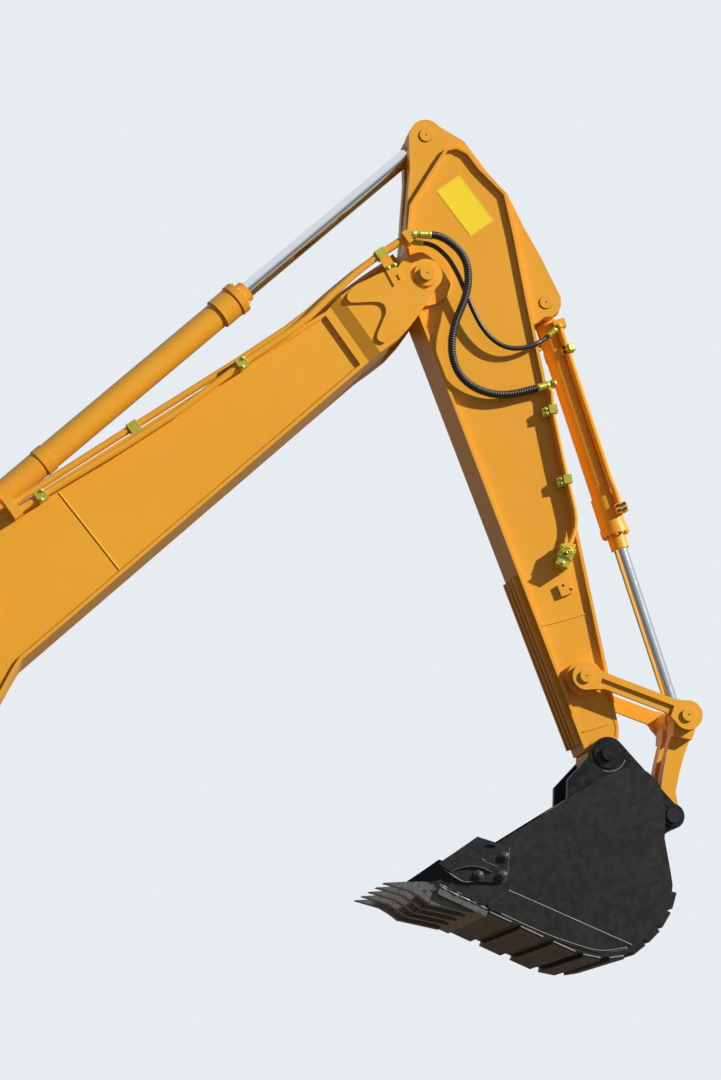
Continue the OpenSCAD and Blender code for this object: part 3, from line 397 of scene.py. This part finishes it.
def makeMaterial(name, group, color, rough, metallic=0.0, coat=0.0, specular=0.5):
    material = bpy.data.materials.new(name)
    material.use_nodes = True
    tree = material.node_tree
    shader = tree.nodes["Principled BSDF"]
    shader.inputs["Metallic"].default_value = metallic
    shader.inputs["Coat Weight"].default_value = coat
    shader.inputs["Coat Roughness"].default_value = 0.12
    shader.inputs["Specular IOR Level"].default_value = specular
    node = tree.nodes.new("ShaderNodeGroup")
    node.node_tree = group
    node.inputs["Color"].default_value = (*color, 1)
    node.inputs["Roughness"].default_value = rough
    tree.links.new(node.outputs["Color"], shader.inputs["Base Color"])
    tree.links.new(node.outputs["Roughness"], shader.inputs["Roughness"])
    tree.links.new(node.outputs["Normal"], shader.inputs["Normal"])
    material.diffuse_color = (*color, 1)
    return material


# patches, mottle, wave and peel are noise scales; shade, speck and settled are shares; heights are in metres
enamel = surfaceGroup("enamel surface", {
    "patches": 1.1, "mottle": 9.0, "shade": 0.5, "deep": (0.94, 0.86, 0.75, 1),
    "speck": 0.05, "dust": (0.55, 0.36, 0.13, 1), "settled": 0.1, "vary": 0.05,
    "wave": 5.0, "waveHigh": 0.0012, "peel": 260.0, "peelHigh": 0.00012})
blacked = surfaceGroup("bucket surface", {
    "patches": 2.2, "mottle": 26.0, "shade": 0.8, "deep": (0.5, 0.5, 0.54, 1),
    "speck": 0.16, "dust": (0.05, 0.047, 0.044, 1), "settled": 0.3, "vary": 0.08,
    "wave": 6.0, "waveHigh": 0.0015, "peel": 210.0, "peelHigh": 0.0003,
    # The downward-facing tint here is a painted warm reflection of the ground
    "under": (0.075, 0.046, 0.010, 1)})
# In this steel the lighter flank colour is partly painted sunlight and partly scuffing
edged = surfaceGroup("worn steel surface", {
    "patches": 7.0, "mottle": 55.0, "shade": 0.8, "deep": (0.5, 0.5, 0.52, 1),
    "speck": 0.25, "dust": (0.13, 0.12, 0.11, 1), "settled": 0.2, "vary": 0.1,
    "wave": 40.0, "waveHigh": 0.0008, "peel": 170.0, "peelHigh": 0.0006,
    # The downward-facing tint here is a painted warm reflection of the ground
    "side": (0.115, 0.118, 0.122, 1), "under": (0.19, 0.105, 0.024, 1)})
cast = surfaceGroup("cast surface", {
    "patches": 6.0, "mottle": 60.0, "shade": 0.8, "deep": (0.55, 0.55, 0.56, 1),
    "speck": 0.25, "dust": (0.15, 0.135, 0.12, 1), "settled": 0.2, "vary": 0.1,
    "wave": 40.0, "waveHigh": 0.0008, "peel": 170.0, "peelHigh": 0.0007})
plated = surfaceGroup("plated surface", {
    "patches": 25.0, "mottle": 90.0, "shade": 0.7, "deep": (0.75, 0.8, 0.45, 1),
    "speck": 0.3, "dust": (0.32, 0.3, 0.16, 1), "settled": 0.1, "vary": 0.1,
    "wave": 60.0, "waveHigh": 0.0002, "peel": 500.0, "peelHigh": 0.0001})
ground = surfaceGroup("ground rod surface", {
    "patches": 3.0, "mottle": 40.0, "shade": 0.25, "deep": (0.8, 0.85, 0.92, 1),
    "speck": 0.05, "dust": (0.4, 0.38, 0.36, 1), "settled": 0.02, "vary": 0.02,
    "wave": 12.0, "waveHigh": 0.0001, "peel": 700.0, "peelHigh": 0.00002})
rubbery = surfaceGroup("hose surface", {
    "patches": 8.0, "mottle": 120.0, "shade": 0.6, "deep": (0.6, 0.6, 0.6, 1),
    "speck": 0.12, "dust": (0.06, 0.055, 0.05, 1), "settled": 0.1, "vary": 0.08,
    "wave": 90.0, "waveHigh": 0.0002, "peel": 900.0, "peelHigh": 0.0002})
weld = surfaceGroup("weld surface", {
    "patches": 14.0, "mottle": 70.0, "shade": 0.6, "deep": (0.6, 0.58, 0.55, 1),
    "speck": 0.35, "dust": (0.2, 0.17, 0.14, 1), "settled": 0.1, "vary": 0.12,
    "wave": 90.0, "waveHigh": 0.0006, "peel": 380.0, "peelHigh": 0.0005})
materials = {
    "paint": makeMaterial("orange enamel", enamel, (0.80, 0.372, 0.024), 0.42, coat=0.06, specular=0.36),
    "bucket": makeMaterial("charcoal paint", blacked, (0.0105, 0.0108, 0.0122), 0.5, specular=0.27),
    # A darker copy of the bucket paint for the ears and their pin, standing for the shade they lie in: painted
    # shade
    "shadedEar": makeMaterial("bucket paint darkened as painted shade", blacked, (0.0042, 0.005, 0.0066), 0.4, specular=0.3),
    "tooth": makeMaterial("tooth steel", edged, (0.06, 0.06, 0.064), 0.46, metallic=0.3),
    "chrome": makeMaterial("hard chrome", ground, (0.82, 0.83, 0.84), 0.1, metallic=1.0),
    "zinc": makeMaterial("yellow zinc", plated, (0.60, 0.53, 0.075), 0.34, metallic=0.6),
    "hose": makeMaterial("black hose cover", rubbery, (0.014, 0.014, 0.015), 0.42),
    "sign": makeMaterial("sign yellow", enamel, (0.95, 0.72, 0.02), 0.3, coat=0.2),
    "signLine": makeMaterial("sign border", enamel, (0.62, 0.44, 0.02), 0.35),
    # Near-black for holes and gaps: painted shade
    "paintedShade": makeMaterial("painted shade in holes and gaps", rubbery, (0.012, 0.009, 0.006), 0.6),
    "plug": makeMaterial("red-brown plug", rubbery, (0.12, 0.012, 0.008), 0.4),
    "bareWeld": makeMaterial("bare weld", weld, (0.26, 0.255, 0.245), 0.5, metallic=0.3),
    "raggedWeld": makeMaterial("ragged weld", weld, (0.36, 0.36, 0.355), 0.45, metallic=0.35),
    "bolt": makeMaterial("oiled bolt", cast, (0.055, 0.053, 0.05), 0.36, metallic=0.6),
    # Near-black look for the line under the bucket strip's step: painted shadow
    "seam": makeMaterial("dark seam", rubbery, (0.006, 0.006, 0.006), 0.7),
    "rust": makeMaterial("brown weld", weld, (0.045, 0.032, 0.020), 0.6),
    "wornEdge": makeMaterial("worn edge", weld, (0.20, 0.20, 0.205), 0.4, metallic=0.4),
}
# The look of each slot of the CAD part, and of the few nodes that differ from their slot
slotLooks = {
    "paint": "paint", "bucket_paint": "bucket", "tooth_steel": "tooth", "pin_steel": "paint",
    "rod_chrome": "chrome", "zinc_fittings": "zinc", "hose_rubber": "hose"}
nodeLooks = {
    # The bucket's ears and pin take the darkened bucket paint, which is painted shade
    "bucket_cylinder_clamp": "paint", "bucket_lip": "tooth", "bucket_ears": "shadedEar", "bucket_pin": "shadedEar"}
for part in frame["record"]["subparts"]:
    node = nodes[part["node"]]
    for slot in node.material_slots:
        slot.material = materials[nodeLooks.get(part["node"], slotLooks[part["material_slot"]])]
for hose in hoses:
    hose.data.materials.append(materials["hose"])
print("materials", len(materials))

# Pins: a dark disc of painted shade for the centre hole in every head. Each row is x and z of the pin, and how far
# out its head is
pinCentre = [(-0.001, 0.0052), (0.0007, 0.005), (0.0002, 0.002)]
pinEnds = {
    "boomPinCentres": ("boom", "front", [(0, 0, 0.306), (-2.843, 0.289, 0.130)]),
    "armPinCentres": ("arm", "arm", [(-0.814, 0.332, 0.152), (0.349, 0.641, 0.152), (2.472, 0.031, 0.271)]),
    "idlerLinksPinCentres": ("idler_links", "arm", [(2.872, 0.503, 0.271)]),
    "bucketPinCentres": ("bucket", "bucket", [(0, 0, 0.235)]),
}
for name, (body, place, spots) in pinEnds.items():
    bm = bmesh.new()
    for x, z, y in spots:
        for side in (-1, 1):
            addTurned(bm, pinCentre, (x, side * y, z), (0, side, 0), 12)
    makePiece(bm, name, body, place, materials["paintedShade"])

# The thin gap round the two pins that are flush with the arm's head, drawn as a dark ring of painted shade; each
# row is x, z and radius
flushPins = {
    "pins": [(-0.814, 0.332, 0.0395), (0.349, 0.641, 0.0388)], "y": 0.1456, "wide": 0.0016, "steps": 40}
bm = bmesh.new()
turns = [2 * pi * k / flushPins["steps"] for k in range(flushPins["steps"] + 1)]
for x, z, r in flushPins["pins"]:
    for side in (-1, 1):
        circle = [Vector((x + r * cos(a), side * flushPins["y"], z + r * sin(a))) for a in turns]
        addTube(bm, circle, flushPins["wide"], 8)
makePiece(bm, "flushPinGaps", "arm", "arm", materials["paintedShade"])

# Blank sign on the arm's side, with a fine line inside its edge
sign = {
    "corners": [(-0.477, 0.265), (-0.526, 0.430), (-0.207, 0.523), (-0.159, 0.359)],
    "face": 0.1502, "sunk": 0.001, "thick": 0.0014,
    "lineIn": 0.055, "lineWide": 0.0016, "lineAt": (0.0012, 0.0017)}


def between(a, b, t):
    return (a[0] + t * (b[0] - a[0]), a[1] + t * (b[1] - a[1]))


plate, lines = bmesh.new(), bmesh.new()
corners = sign["corners"]
middle = between(between(*corners[:2], 0.5), between(*corners[2:], 0.5), 0.5)
inner = [between(c, middle, sign["lineIn"]) for c in corners]
for side in (-1, 1):
    addPlate(plate, corners, side * (sign["face"] - sign["sunk"]), side * (sign["face"] + sign["thick"]))
    low, top = (side * (sign["face"] + past) for past in sign["lineAt"])
    for a, b in zip(inner, inner[1:] + inner[:1]):
        way = Vector((b[0] - a[0], b[1] - a[1])).normalized() * sign["lineWide"]
        addPlate(lines, [(a[0] - way[1], a[1] + way[0]), a, b, (b[0] - way[1], b[1] + way[0])], low, top)
makePiece(plate, "blankSign", "arm", "arm", materials["sign"], smooth=False)
makePiece(lines, "blankSignLine", "arm", "arm", materials["signLine"], smooth=False)
print("pins and sign")


def armSeam(x):
    # the low seam that runs just inside the arm's sloping front edge
    return (x, 0.470 - 0.16520 * (x - 0.720) - 0.0185)


# Weld beads. A set has its body, its frame and its kind; a row has its distance from the machine's middle,
# its own half width, and its points. A kind is how deep its ripples are, and how ragged it is
beadShapes = {
    "paint": (0.05, 0.03), "bareWeld": (0.12, 0.12), "raggedWeld": (0.15, 0.55),
    "seam": (0.0, 0.1), "rust": (0.1, 0.3), "wornEdge": (0.0, 0.3)}
beads = {
    "boomWelds": ("boom", "front", "paint", [
        (0.2155, 0.0050, [(-2.458, 0.112), (-2.442, -0.160), (-2.427, -0.435)]),
        (0.2165, 0.0105, [(-0.598, 0.118), (-0.598, -0.020), (-0.598, -0.212)]),
        (0.2160, 0.0048, [(-0.640, 0.121), (-1.700, 0.139), (-2.860, 0.158)]),
        (0.2160, 0.0048, [(-0.640, -0.217), (-1.700, -0.352), (-3.060, -0.526)]),
    ]),
    "armWelds": ("arm", "arm", "paint", [
        (0.1505, 0.0048, [(2.112, -0.079), (2.124, 0.050), (2.132, 0.215)]),
        (0.1505, 0.0048, [(2.754, -0.080), (2.758, 0.000), (2.762, 0.084)]),
        (0.1512, 0.0046, [(0.800, -0.0865), (1.700, -0.0865), (2.560, -0.0865)]),
        (0.1512, 0.0046, [armSeam(0.780), armSeam(1.700), armSeam(2.560)]),
    ]),
    "bucketWelds": ("bucket", "bucket", "bareWeld", [
        (0.5995, 0.0042, [(0.975, 0.367), (0.830, 0.559), (0.680, 0.760), (0.532, 0.957)]),
        (0.5900, 0.0040, [(1.079, 0.461), (0.920, 0.676), (0.771, 0.844), (0.680, 0.917), (0.562, 0.963)]),
        (0.5995, 0.0035, [(1.073, 0.457), (0.916, 0.669), (0.768, 0.836), (0.679, 0.909), (0.562, 0.954)]),
    ]),
    "lipWelds": ("bucket", "bucket", "raggedWeld", [
        (0.5920, 0.0085, [(1.288, 0.166), (1.240, 0.238), (1.187, 0.310), (1.124, 0.400)]),
        (0.5950, 0.0090, [(1.284, 0.158), (1.240, 0.216), (1.184, 0.292), (1.134, 0.372)]),
    ]),
    # A dark line sunk under the upper strip's edge along the side seam: painted shadow of the strip's step
    "sideSeamShadows": ("bucket", "bucket", "seam", [
        (0.5935, 0.0078, [(-0.054, 0.282), (0.460, 0.324), (0.968, 0.366)]),
    ]),
    "seamRust": ("bucket", "bucket", "rust", [
        (0.5960, 0.0052, [(0.980, 0.367), (1.050, 0.376), (1.112, 0.383)]),
    ]),
    "wornEdges": ("bucket", "bucket", "wornEdge", [
        (0.6152, 0.0052, [(1.224, 0.104), (1.214, 0.126), (1.173, 0.203), (1.120, 0.235)]),
        (0.6295, 0.0026, [(1.020, 0.150), (1.003, 0.187), (0.966, 0.231)]),
        (0.6295, 0.0018, [(1.012, 0.238), (1.046, 0.188), (1.092, 0.155), (1.150, 0.136), (1.203, 0.129)]),
        (0.6155, 0.0022, [(0.854, 0.174), (0.900, 0.239), (0.953, 0.311), (0.986, 0.315)]),
    ]),
}
for name, (body, place, kind, rows) in beads.items():
    bm = bmesh.new()
    for y, wide, points in rows:
        for side in (-1, 1):
            addBead(bm, [(x, side * y, z) for x, z in points], wide, *beadShapes[kind])
    makePiece(bm, name, body, place, materials[kind])

# Arcs of weld round the arm's pivot disc and the bucket's ears, each round its own frame's origin
arcWelds = {
    "armDiscWeld": {
        "body": "arm", "look": "paint", "r": 0.161, "y": 0.1512, "wide": 0.006, "arc": (-120, 120)},
    "earWeld": {
        "body": "bucket", "look": "bareWeld", "r": 0.1010, "y": 0.2040, "wide": 0.0035, "arc": (40, 135)},
}
for name, arc in arcWelds.items():
    bm = bmesh.new()
    start, stop = arc["arc"]
    turns = [radians(a) for a in range(start, stop + 1, 15)]
    for side in (-1, 1):
        addBead(bm, [(arc["r"] * cos(a), side * arc["y"], arc["r"] * sin(a)) for a in turns], arc["wide"])
    makePiece(bm, name, arc["body"], arc["body"], materials[arc["look"]])
print("welds")


# Bolts. Each row is a body, a frame, a look, the width across the flats, the places, and the way they face
def ringOf(x, r, count, first):
    turns = [2 * pi * k / count + first for k in range(count)]
    return [(x, r * cos(a), r * sin(a)) for a in turns]


def bothSides(y, spots):
    return [(x, side * y, z) for side in (-1, 1) for x, z in spots]


boltSets = {
    "cutterBolts": ("bucket", "bucket", "bolt", 0.037, bothSides(
        0.6165, [(0.905, 0.204), (1.081, 0.221), (0.968, 0.285)]), "out"),
    "armGlandBolts": ("arm_cylinder", "armCylinder", "paint", 0.022, ringOf(1.9435, 0.081, 10, 0.3), "along"),
    "bucketGlandBolts": (
        "bucket_cylinder", "bucketCylinder", "paint", 0.019, ringOf(1.3962, 0.068, 12, 0.2), "along"),
    "boomClampBolts": ("boom", "front", "zinc", 0.016, bothSides(
        0.2915, [(-2.575, 0.122), (-2.545, 0.164), (-1.206, 0.130), (-1.176, 0.170)]), "out"),
    "armClampBolts": ("arm", "arm", "zinc", 0.018, bothSides(
        0.2030, [(0.953, 0.388), (0.979, 0.384), (1.363, 0.320), (1.389, 0.316)]), "out"),
    "strapBolts": ("boom", "front", "zinc", 0.017, bothSides(
        0.2865, [(-0.170, 0.150), (-0.130, 0.144)]), "out"),
}
for name, (body, place, look, across, spots, facing) in boltSets.items():
    bm = bmesh.new()
    for spot in spots:
        if facing == "along":
            addBolt(bm, spot, (1, 0, 0), across, 1.3)
        else:
            addBolt(bm, spot, (0, spot[1], 0), across)
    makePiece(bm, name, body, place, materials[look])

# Feet of the arm's pipe clamps
clampFeet = {
    "at": [(0.966, 0.387), (1.376, 0.319)], "y": (0.149, 0.2035), "bevel": 0.004,
    "outline": [(-0.027, -0.021), (0.027, -0.030), (0.030, 0.021), (-0.024, 0.030)]}
bm = bmesh.new()
for x, z in clampFeet["at"]:
    for side in (-1, 1):
        low, top = (side * y for y in clampFeet["y"])
        addPlate(bm, [(x + dx, z + dz) for dx, dz in clampFeet["outline"]], low, top)
makePiece(bm, "clampFeet", "arm", "arm", materials["zinc"], smooth=False, bevel=clampFeet["bevel"])

# The valve. Points are along it from the end that the pipe enters, and across it; face is its outer side.
# Each block is half its outline, where it starts, and how far it stands past the face
valve = {
    "at": (1.747, 0.2133), "turn": -42, "face": 0.2370, "bevel": 0.0022,
    "blocks": [
        ([(-0.001, 0.047), (0.029, 0.047), (0.029, 0.038), (0.035, 0.038), (0.035, 0.045), (0.077, 0.045),
          (0.077, 0.037), (0.123, 0.037)], 0.1495, 0.0010),
        ([(0.006, 0.040), (0.072, 0.038)], 0.2370, 0.0065),
        ([(0.084, 0.030), (0.112, 0.030)], 0.2370, 0.0050),
        ([(0.115, 0.040), (0.122, 0.040)], 0.1700, 0.0110)],
    "plug": {
        "at": (0.036, 0.003), "ringPast": 0.0060, "hexPast": 0.0090,
        "ring": [(0, 0.031), (0.009, 0.031), (0.011, 0.029), (0.011, 0.025), (0.004, 0.0245), (0.004, 0.015)],
        "hex": [(0, 0.015), (0.016, 0.015), (0.018, 0.013), (0.018, 0.009), (0.012, 0.0085)]},
    "footBolt": {"at": (0.106, -0.002), "past": 0.0045, "across": 0.019},
    "endBolts": {"across": 0.013, "apart": 0.026, "lidEnd": (0.121, 0.2150), "pipeEnd": (-0.026, 0.2050)},
    "capBolts": {
        "at": [(0.013, 0.031), (0.013, -0.031), (0.066, 0.030), (0.066, -0.030)], "past": 0.0062, "d": 0.010},
    "gap": {"along": (0.0285, 0.0355), "out": 0.041, "half": 0.0045, "y": (0.1496, 0.2000)}}


def onValve(u, w):
    a = radians(valve["turn"])
    return (valve["at"][0] + u * cos(a) - w * sin(a), valve["at"][1] + u * sin(a) + w * cos(a))


face = valve["face"]
bm = bmesh.new()
for side in (-1, 1):
    for half, start, past in valve["blocks"]:
        outline = [onValve(u, w) for u, w in half] + [onValve(u, -w) for u, w in half[::-1]]
        addPlate(bm, outline, side * start, side * (face + past))
makePiece(bm, "valveBlocks", "arm", "arm", materials["zinc"], smooth=False, bevel=valve["bevel"])
bm = bmesh.new()
gaps = bmesh.new()
plug, footBolt, endBolts = valve["plug"], valve["footBolt"], valve["endBolts"]
capBolts, gap = valve["capBolts"], valve["gap"]
along = Vector((cos(radians(valve["turn"])), 0, sin(radians(valve["turn"]))))
for side in (-1, 1):
    way = (0, side, 0)
    x, z = onValve(*plug["at"])
    addTurned(bm, plug["ring"], (x, side * (face + plug["ringPast"]), z), way, 32)
    addTurned(bm, plug["hex"], (x, side * (face + plug["hexPast"]), z), way, 6)
    x, z = onValve(*footBolt["at"])
    addBolt(bm, (x, side * (face + footBolt["past"]), z), way, footBolt["across"], 1.2)
    for w in (-endBolts["apart"], endBolts["apart"]):
        u, y = endBolts["lidEnd"]
        x, z = onValve(u, w)
        addBolt(bm, (x, side * y, z), along, endBolts["across"], 0)
        u, y = endBolts["pipeEnd"]
        x, z = onValve(u, w + plug["at"][1])
        addBolt(bm, (x, side * y, z), -along, endBolts["across"], 0)
    for u, w in capBolts["at"]:
        x, z = onValve(u, w)
        addSocketBolt(bm, (x, side * (face + capBolts["past"]), z), way, capBolts["d"])
    u0, u1 = gap["along"]
    low, top = (side * y for y in gap["y"])
    for w in (-gap["out"], gap["out"]):
        w0, w1 = w - gap["half"], w + gap["half"]
        addPlate(gaps, [onValve(u0, w0), onValve(u1, w0), onValve(u1, w1), onValve(u0, w1)], low, top)
makePiece(bm, "valvePlugs", "arm", "arm", materials["zinc"])
# The gaps in the valve are dark plates: painted shade
makePiece(gaps, "valveGaps", "arm", "arm", materials["paintedShade"], smooth=False)

# Plugs in the pad below the valve, and cap bolts on the bucket cylinder's gland block
padPlugs = {
    "at": [(1.938, 0.117), (1.973, 0.152)], "y": 0.175,
    "profile": [(-0.001, 0.0080), (0.0012, 0.0078), (0.0012, 0.0050)]}
blockBolts = {"x": (1.2535, 1.2820), "z": (0.034, 0.069), "y": -0.1178, "d": 0.018}
bm = bmesh.new()
for x, z in padPlugs["at"]:
    for side in (-1, 1):
        addTurned(bm, padPlugs["profile"], (x, side * padPlugs["y"], z), (0, side, 0), 16)
makePiece(bm, "padPlugs", "arm", "arm", materials["plug"])
bm = bmesh.new()
for x in blockBolts["x"]:
    for z in blockBolts["z"]:
        addSocketBolt(bm, (x, blockBolts["y"], z), (0, -1, 0), blockBolts["d"])
makePiece(bm, "glandBlockBolts", "bucket_cylinder", "bucketCylinder", materials["bolt"])
print("bolts and valves")

# The pipe's zinc saddle on the bucket cylinder, with its two pairs of nuts. lean is the way it faces
saddle = {
    "x": 0.290, "half": 0.0245, "wide": 0.0290, "low": 0.0700, "top": 0.1425, "lean": (-0.86, 0.51),
    "bevel": 0.014, "nut": 0.016, "nutApart": 0.013, "nutHigh": 0.100}
outward = Vector((0, *saddle["lean"])).normalized()
around = Vector((0, -outward.z, outward.y))


def onSaddle(dx, w, high):
    return Vector((saddle["x"] + dx, 0, 0)) + w * around + high * outward


bm = bmesh.new()
corners = []
for dx in (-saddle["half"], saddle["half"]):
    for w, high in ((-1, "low"), (1, "low"), (1, "top"), (-1, "top")):
        corners.append(bm.verts.new(onSaddle(dx, w * saddle["wide"], saddle[high])))
for sides in ((0, 1, 2, 3), (7, 6, 5, 4), (0, 4, 5, 1), (1, 5, 6, 2), (2, 6, 7, 3), (3, 7, 4, 0)):
    bm.faces.new([corners[i] for i in sides])
makePiece(bm, "pipeSaddle", "bucket_cylinder", "bucketCylinder", materials["zinc"], bevel=saddle["bevel"])
bm = bmesh.new()
for dx in (-saddle["nutApart"], saddle["nutApart"]):
    for w in (-1, 1):
        addBolt(bm, onSaddle(dx, w * saddle["wide"], saddle["nutHigh"]), w * around, saddle["nut"], 1.3)
makePiece(bm, "saddleNuts", "bucket_cylinder", "bucketCylinder", materials["bolt"])
print("saddle")


# Where the hoses meet steel: a sleeve with crimped bands, then a hex nut
def addSleeve(bm, at, way, sizes):
    # at is where the hose starts, way points from the hose into the steel
    long, r, nut, nutLong = (sizes[k] for k in ("long", "r", "nut", "nutLong"))
    crimps = {"count": 5, "deep": 0.0012, "first": 0.010}
    profile = [(-0.008, 0.86 * r), (-0.006, r)]
    for k in range(crimps["count"]):
        a = crimps["first"] + k * (long - 0.030) / crimps["count"]
        profile += [(a, r), (a + 0.002, r - crimps["deep"]), (a + 0.005, r - crimps["deep"]), (a + 0.007, r)]
    profile += [(long - 0.012, r), (long - 0.008, 0.84 * r), (long, 0.8 * r)]
    addTurned(bm, profile, at, way, 20)
    nutShape = [(0, 0.5 * nut), (0.9 * nutLong, 0.5 * nut), (nutLong, 0.45 * nut)]
    addTurned(bm, nutShape, at + (long + 0.006) * way, way, 6)


sleeveSets = {
    "boomFerrules": ("boom", "start", (largeHose, smallHose)),
    "armFerrules": ("arm", "end", (largeHose,)),
    "cylinderFerrules": ("bucket_cylinder", "end", (smallHose,)),
}
for name, (body, at, sorts) in sleeveSets.items():
    bm = bmesh.new()
    for hose in sorts:
        for side in (-1, 1):
            line = hoseLine(hose, side, 0.004)
            if at == "end":
                line = line[::-1]
            addSleeve(bm, line[0], (line[0] - line[3]).normalized(), hose["sleeve"])
    makePiece(bm, name, body, material=materials["zinc"])
print("ferrules")

# Teeth: painted shade for a pin through each adapter, and for the gap where the tooth's socket ends
teeth = {
    "count": 5, "pitch": 0.263, "pinAt": (1.368, 0.148), "pinOut": 0.039,
    "gapOut": 0.0366, "gapWide": 0.0034,
    "pin": [(-0.002, 0.0125), (0.0006, 0.0125), (0.0008, 0.0085), (-0.0006, 0.0080), (0.0004, 0.0040)],
    "gap": [(1.300, 0.124), (1.313, 0.160), (1.338, 0.190), (1.380, 0.2195)]}
bm = bmesh.new()
for k in range(teeth["count"]):
    middle = (k - (teeth["count"] - 1) / 2) * teeth["pitch"]
    x, z = teeth["pinAt"]
    for side in (-1, 1):
        addTurned(bm, teeth["pin"], (x, middle + side * teeth["pinOut"], z), (0, side, 0), 18)
    for side in (-1, 1):
        y = middle + side * teeth["gapOut"]
        addBead(bm, [(x, y, z) for x, z in teeth["gap"]], teeth["gapWide"], 0.0, 0.1)
makePiece(bm, "toothPins", "bucket", "bucket", materials["paintedShade"])

# Bright weld at the ends of the wear plates. Each row is the two ends of one plate
wearWelds = {
    "y": 0.5905, "wide": 0.0058, "past": 0.0065, "middlePast": 0.0068, "plates": [
        ((1.117, 0.413), (1.040, 0.520)), ((1.008, 0.565), (0.929, 0.675)), ((0.894, 0.723), (0.816, 0.829)),
        ((0.788, 0.862), (0.714, 0.926)), ((0.672, 0.950), (0.598, 0.979))]}
bm = bmesh.new()
for (ax, az), (bx, bz) in wearWelds["plates"]:
    way = Vector((ax - bx, 0, az - bz)).normalized()
    past = Vector((way.z, 0, -way.x))
    if past.z < 0:
        past = -past
    for side in (-1, 1):
        a, b = (Vector((x, side * wearWelds["y"], z)) for x, z in ((ax, az), (bx, bz)))
        addBead(bm, [a + wearWelds["past"] * past, (a + b) / 2 + wearWelds["middlePast"] * past,
                     b + wearWelds["past"] * past], wearWelds["wide"])
makePiece(bm, "wearPlateWelds", "bucket", "bucket", materials["bareWeld"])
print("bucket fittings")

# Edges of the CAD plates get a small round
for name, node in nodes.items():
    if not name.endswith(("pipes", "lines", "ends")) and "hose_" not in name:
        roundEdges(node, edges["cadWidth"])

# Light: one warm sun, as in the photograph, and a soft sky that the camera and the gloss see as pale
sun = {"energy": 5.2, "size": 1.2, "color": (1.0, 0.965, 0.90), "from": (0.73, -0.485, 0.485)}
skyLight = {
    "fill": (0.118, 0.144, 0.19, 1),
    "farFill": (0.72, 0.74, 0.76, 1), "farY": (0.35, 1.0), "farZ": (-0.1, 0.3),
    "back": (0.80, 0.84, 0.88, 1), "backLow": (0.14, 0.15, 0.16, 1), "backZ": (0.0, 0.5)}
sunData = bpy.data.lights.new("key", "SUN")
sunData.energy = sun["energy"]
sunData.angle = radians(sun["size"])
sunData.color = sun["color"]
lamp = bpy.data.objects.new("key", sunData)
scene.collection.objects.link(lamp)
lamp.rotation_euler = (-Vector(sun["from"])).to_track_quat("-Z", "Y").to_euler()
world = bpy.data.worlds.new("studio")
scene.world = world
world.use_nodes = True
sky = world.node_tree
fill = sky.nodes["Background"]
back = sky.nodes.new("ShaderNodeBackground")
way = sky.nodes.new("ShaderNodeSeparateXYZ")
sky.links.new(sky.nodes.new("ShaderNodeTexCoord").outputs["Generated"], way.inputs["Vector"])
farSide = mathNode(
    sky, "MULTIPLY", rangeNode(sky, way.outputs["Y"], *skyLight["farY"], 0.0, 1.0),
    rangeNode(sky, way.outputs["Z"], *skyLight["farZ"], 0.0, 1.0))
sky.links.new(mixNode(sky, farSide, skyLight["fill"], skyLight["farFill"]), fill.inputs["Color"])
path = sky.nodes.new("ShaderNodeLightPath")
high = rangeNode(sky, way.outputs["Z"], *skyLight["backZ"], 0.0, 1.0)
inGloss = mixNode(sky, high, skyLight["backLow"], skyLight["back"])
sky.links.new(mixNode(sky, path.outputs["Is Camera Ray"], inGloss, skyLight["back"]), back.inputs["Color"])
seen = path.outputs["Is Camera Ray"]
for ray in ("Is Glossy Ray", "Is Transmission Ray"):
    seen = mathNode(sky, "MAXIMUM", seen, path.outputs[ray])
swap = sky.nodes.new("ShaderNodeMixShader")
sky.links.new(seen, swap.inputs["Fac"])
sky.links.new(fill.outputs[0], swap.inputs[1])
sky.links.new(back.outputs[0], swap.inputs[2])
sky.links.new(swap.outputs[0], sky.nodes["World Output"].inputs["Surface"])

# Floor: pale to the camera, and a darker ground to the light that it throws up on the bellies
floorLook = {
    "size": 40, "at": (2, 0, -0.56), "color": (0.80, 0.80, 0.79), "rough": 0.75,
    "bounce": (0.16, 0.13, 0.10, 1)}
bm = bmesh.new()
bmesh.ops.create_grid(bm, x_segments=1, y_segments=1, size=floorLook["size"])
bmesh.ops.translate(bm, vec=floorLook["at"], verts=bm.verts)
floor = makePiece(bm, "floor", None, smooth=False)
paleFloor = makeMaterial("pale floor", ground, floorLook["color"], floorLook["rough"])
tree = paleFloor.node_tree
baseColor = tree.nodes["Principled BSDF"].inputs["Base Color"]
pale = baseColor.links[0].from_socket
seen = tree.nodes.new("ShaderNodeLightPath").outputs["Is Camera Ray"]
tree.links.new(mixNode(tree, seen, floorLook["bounce"], pale), baseColor)
floor.data.materials.append(paleFloor)
scene.view_settings.view_transform = "Standard"
print("light and floor")
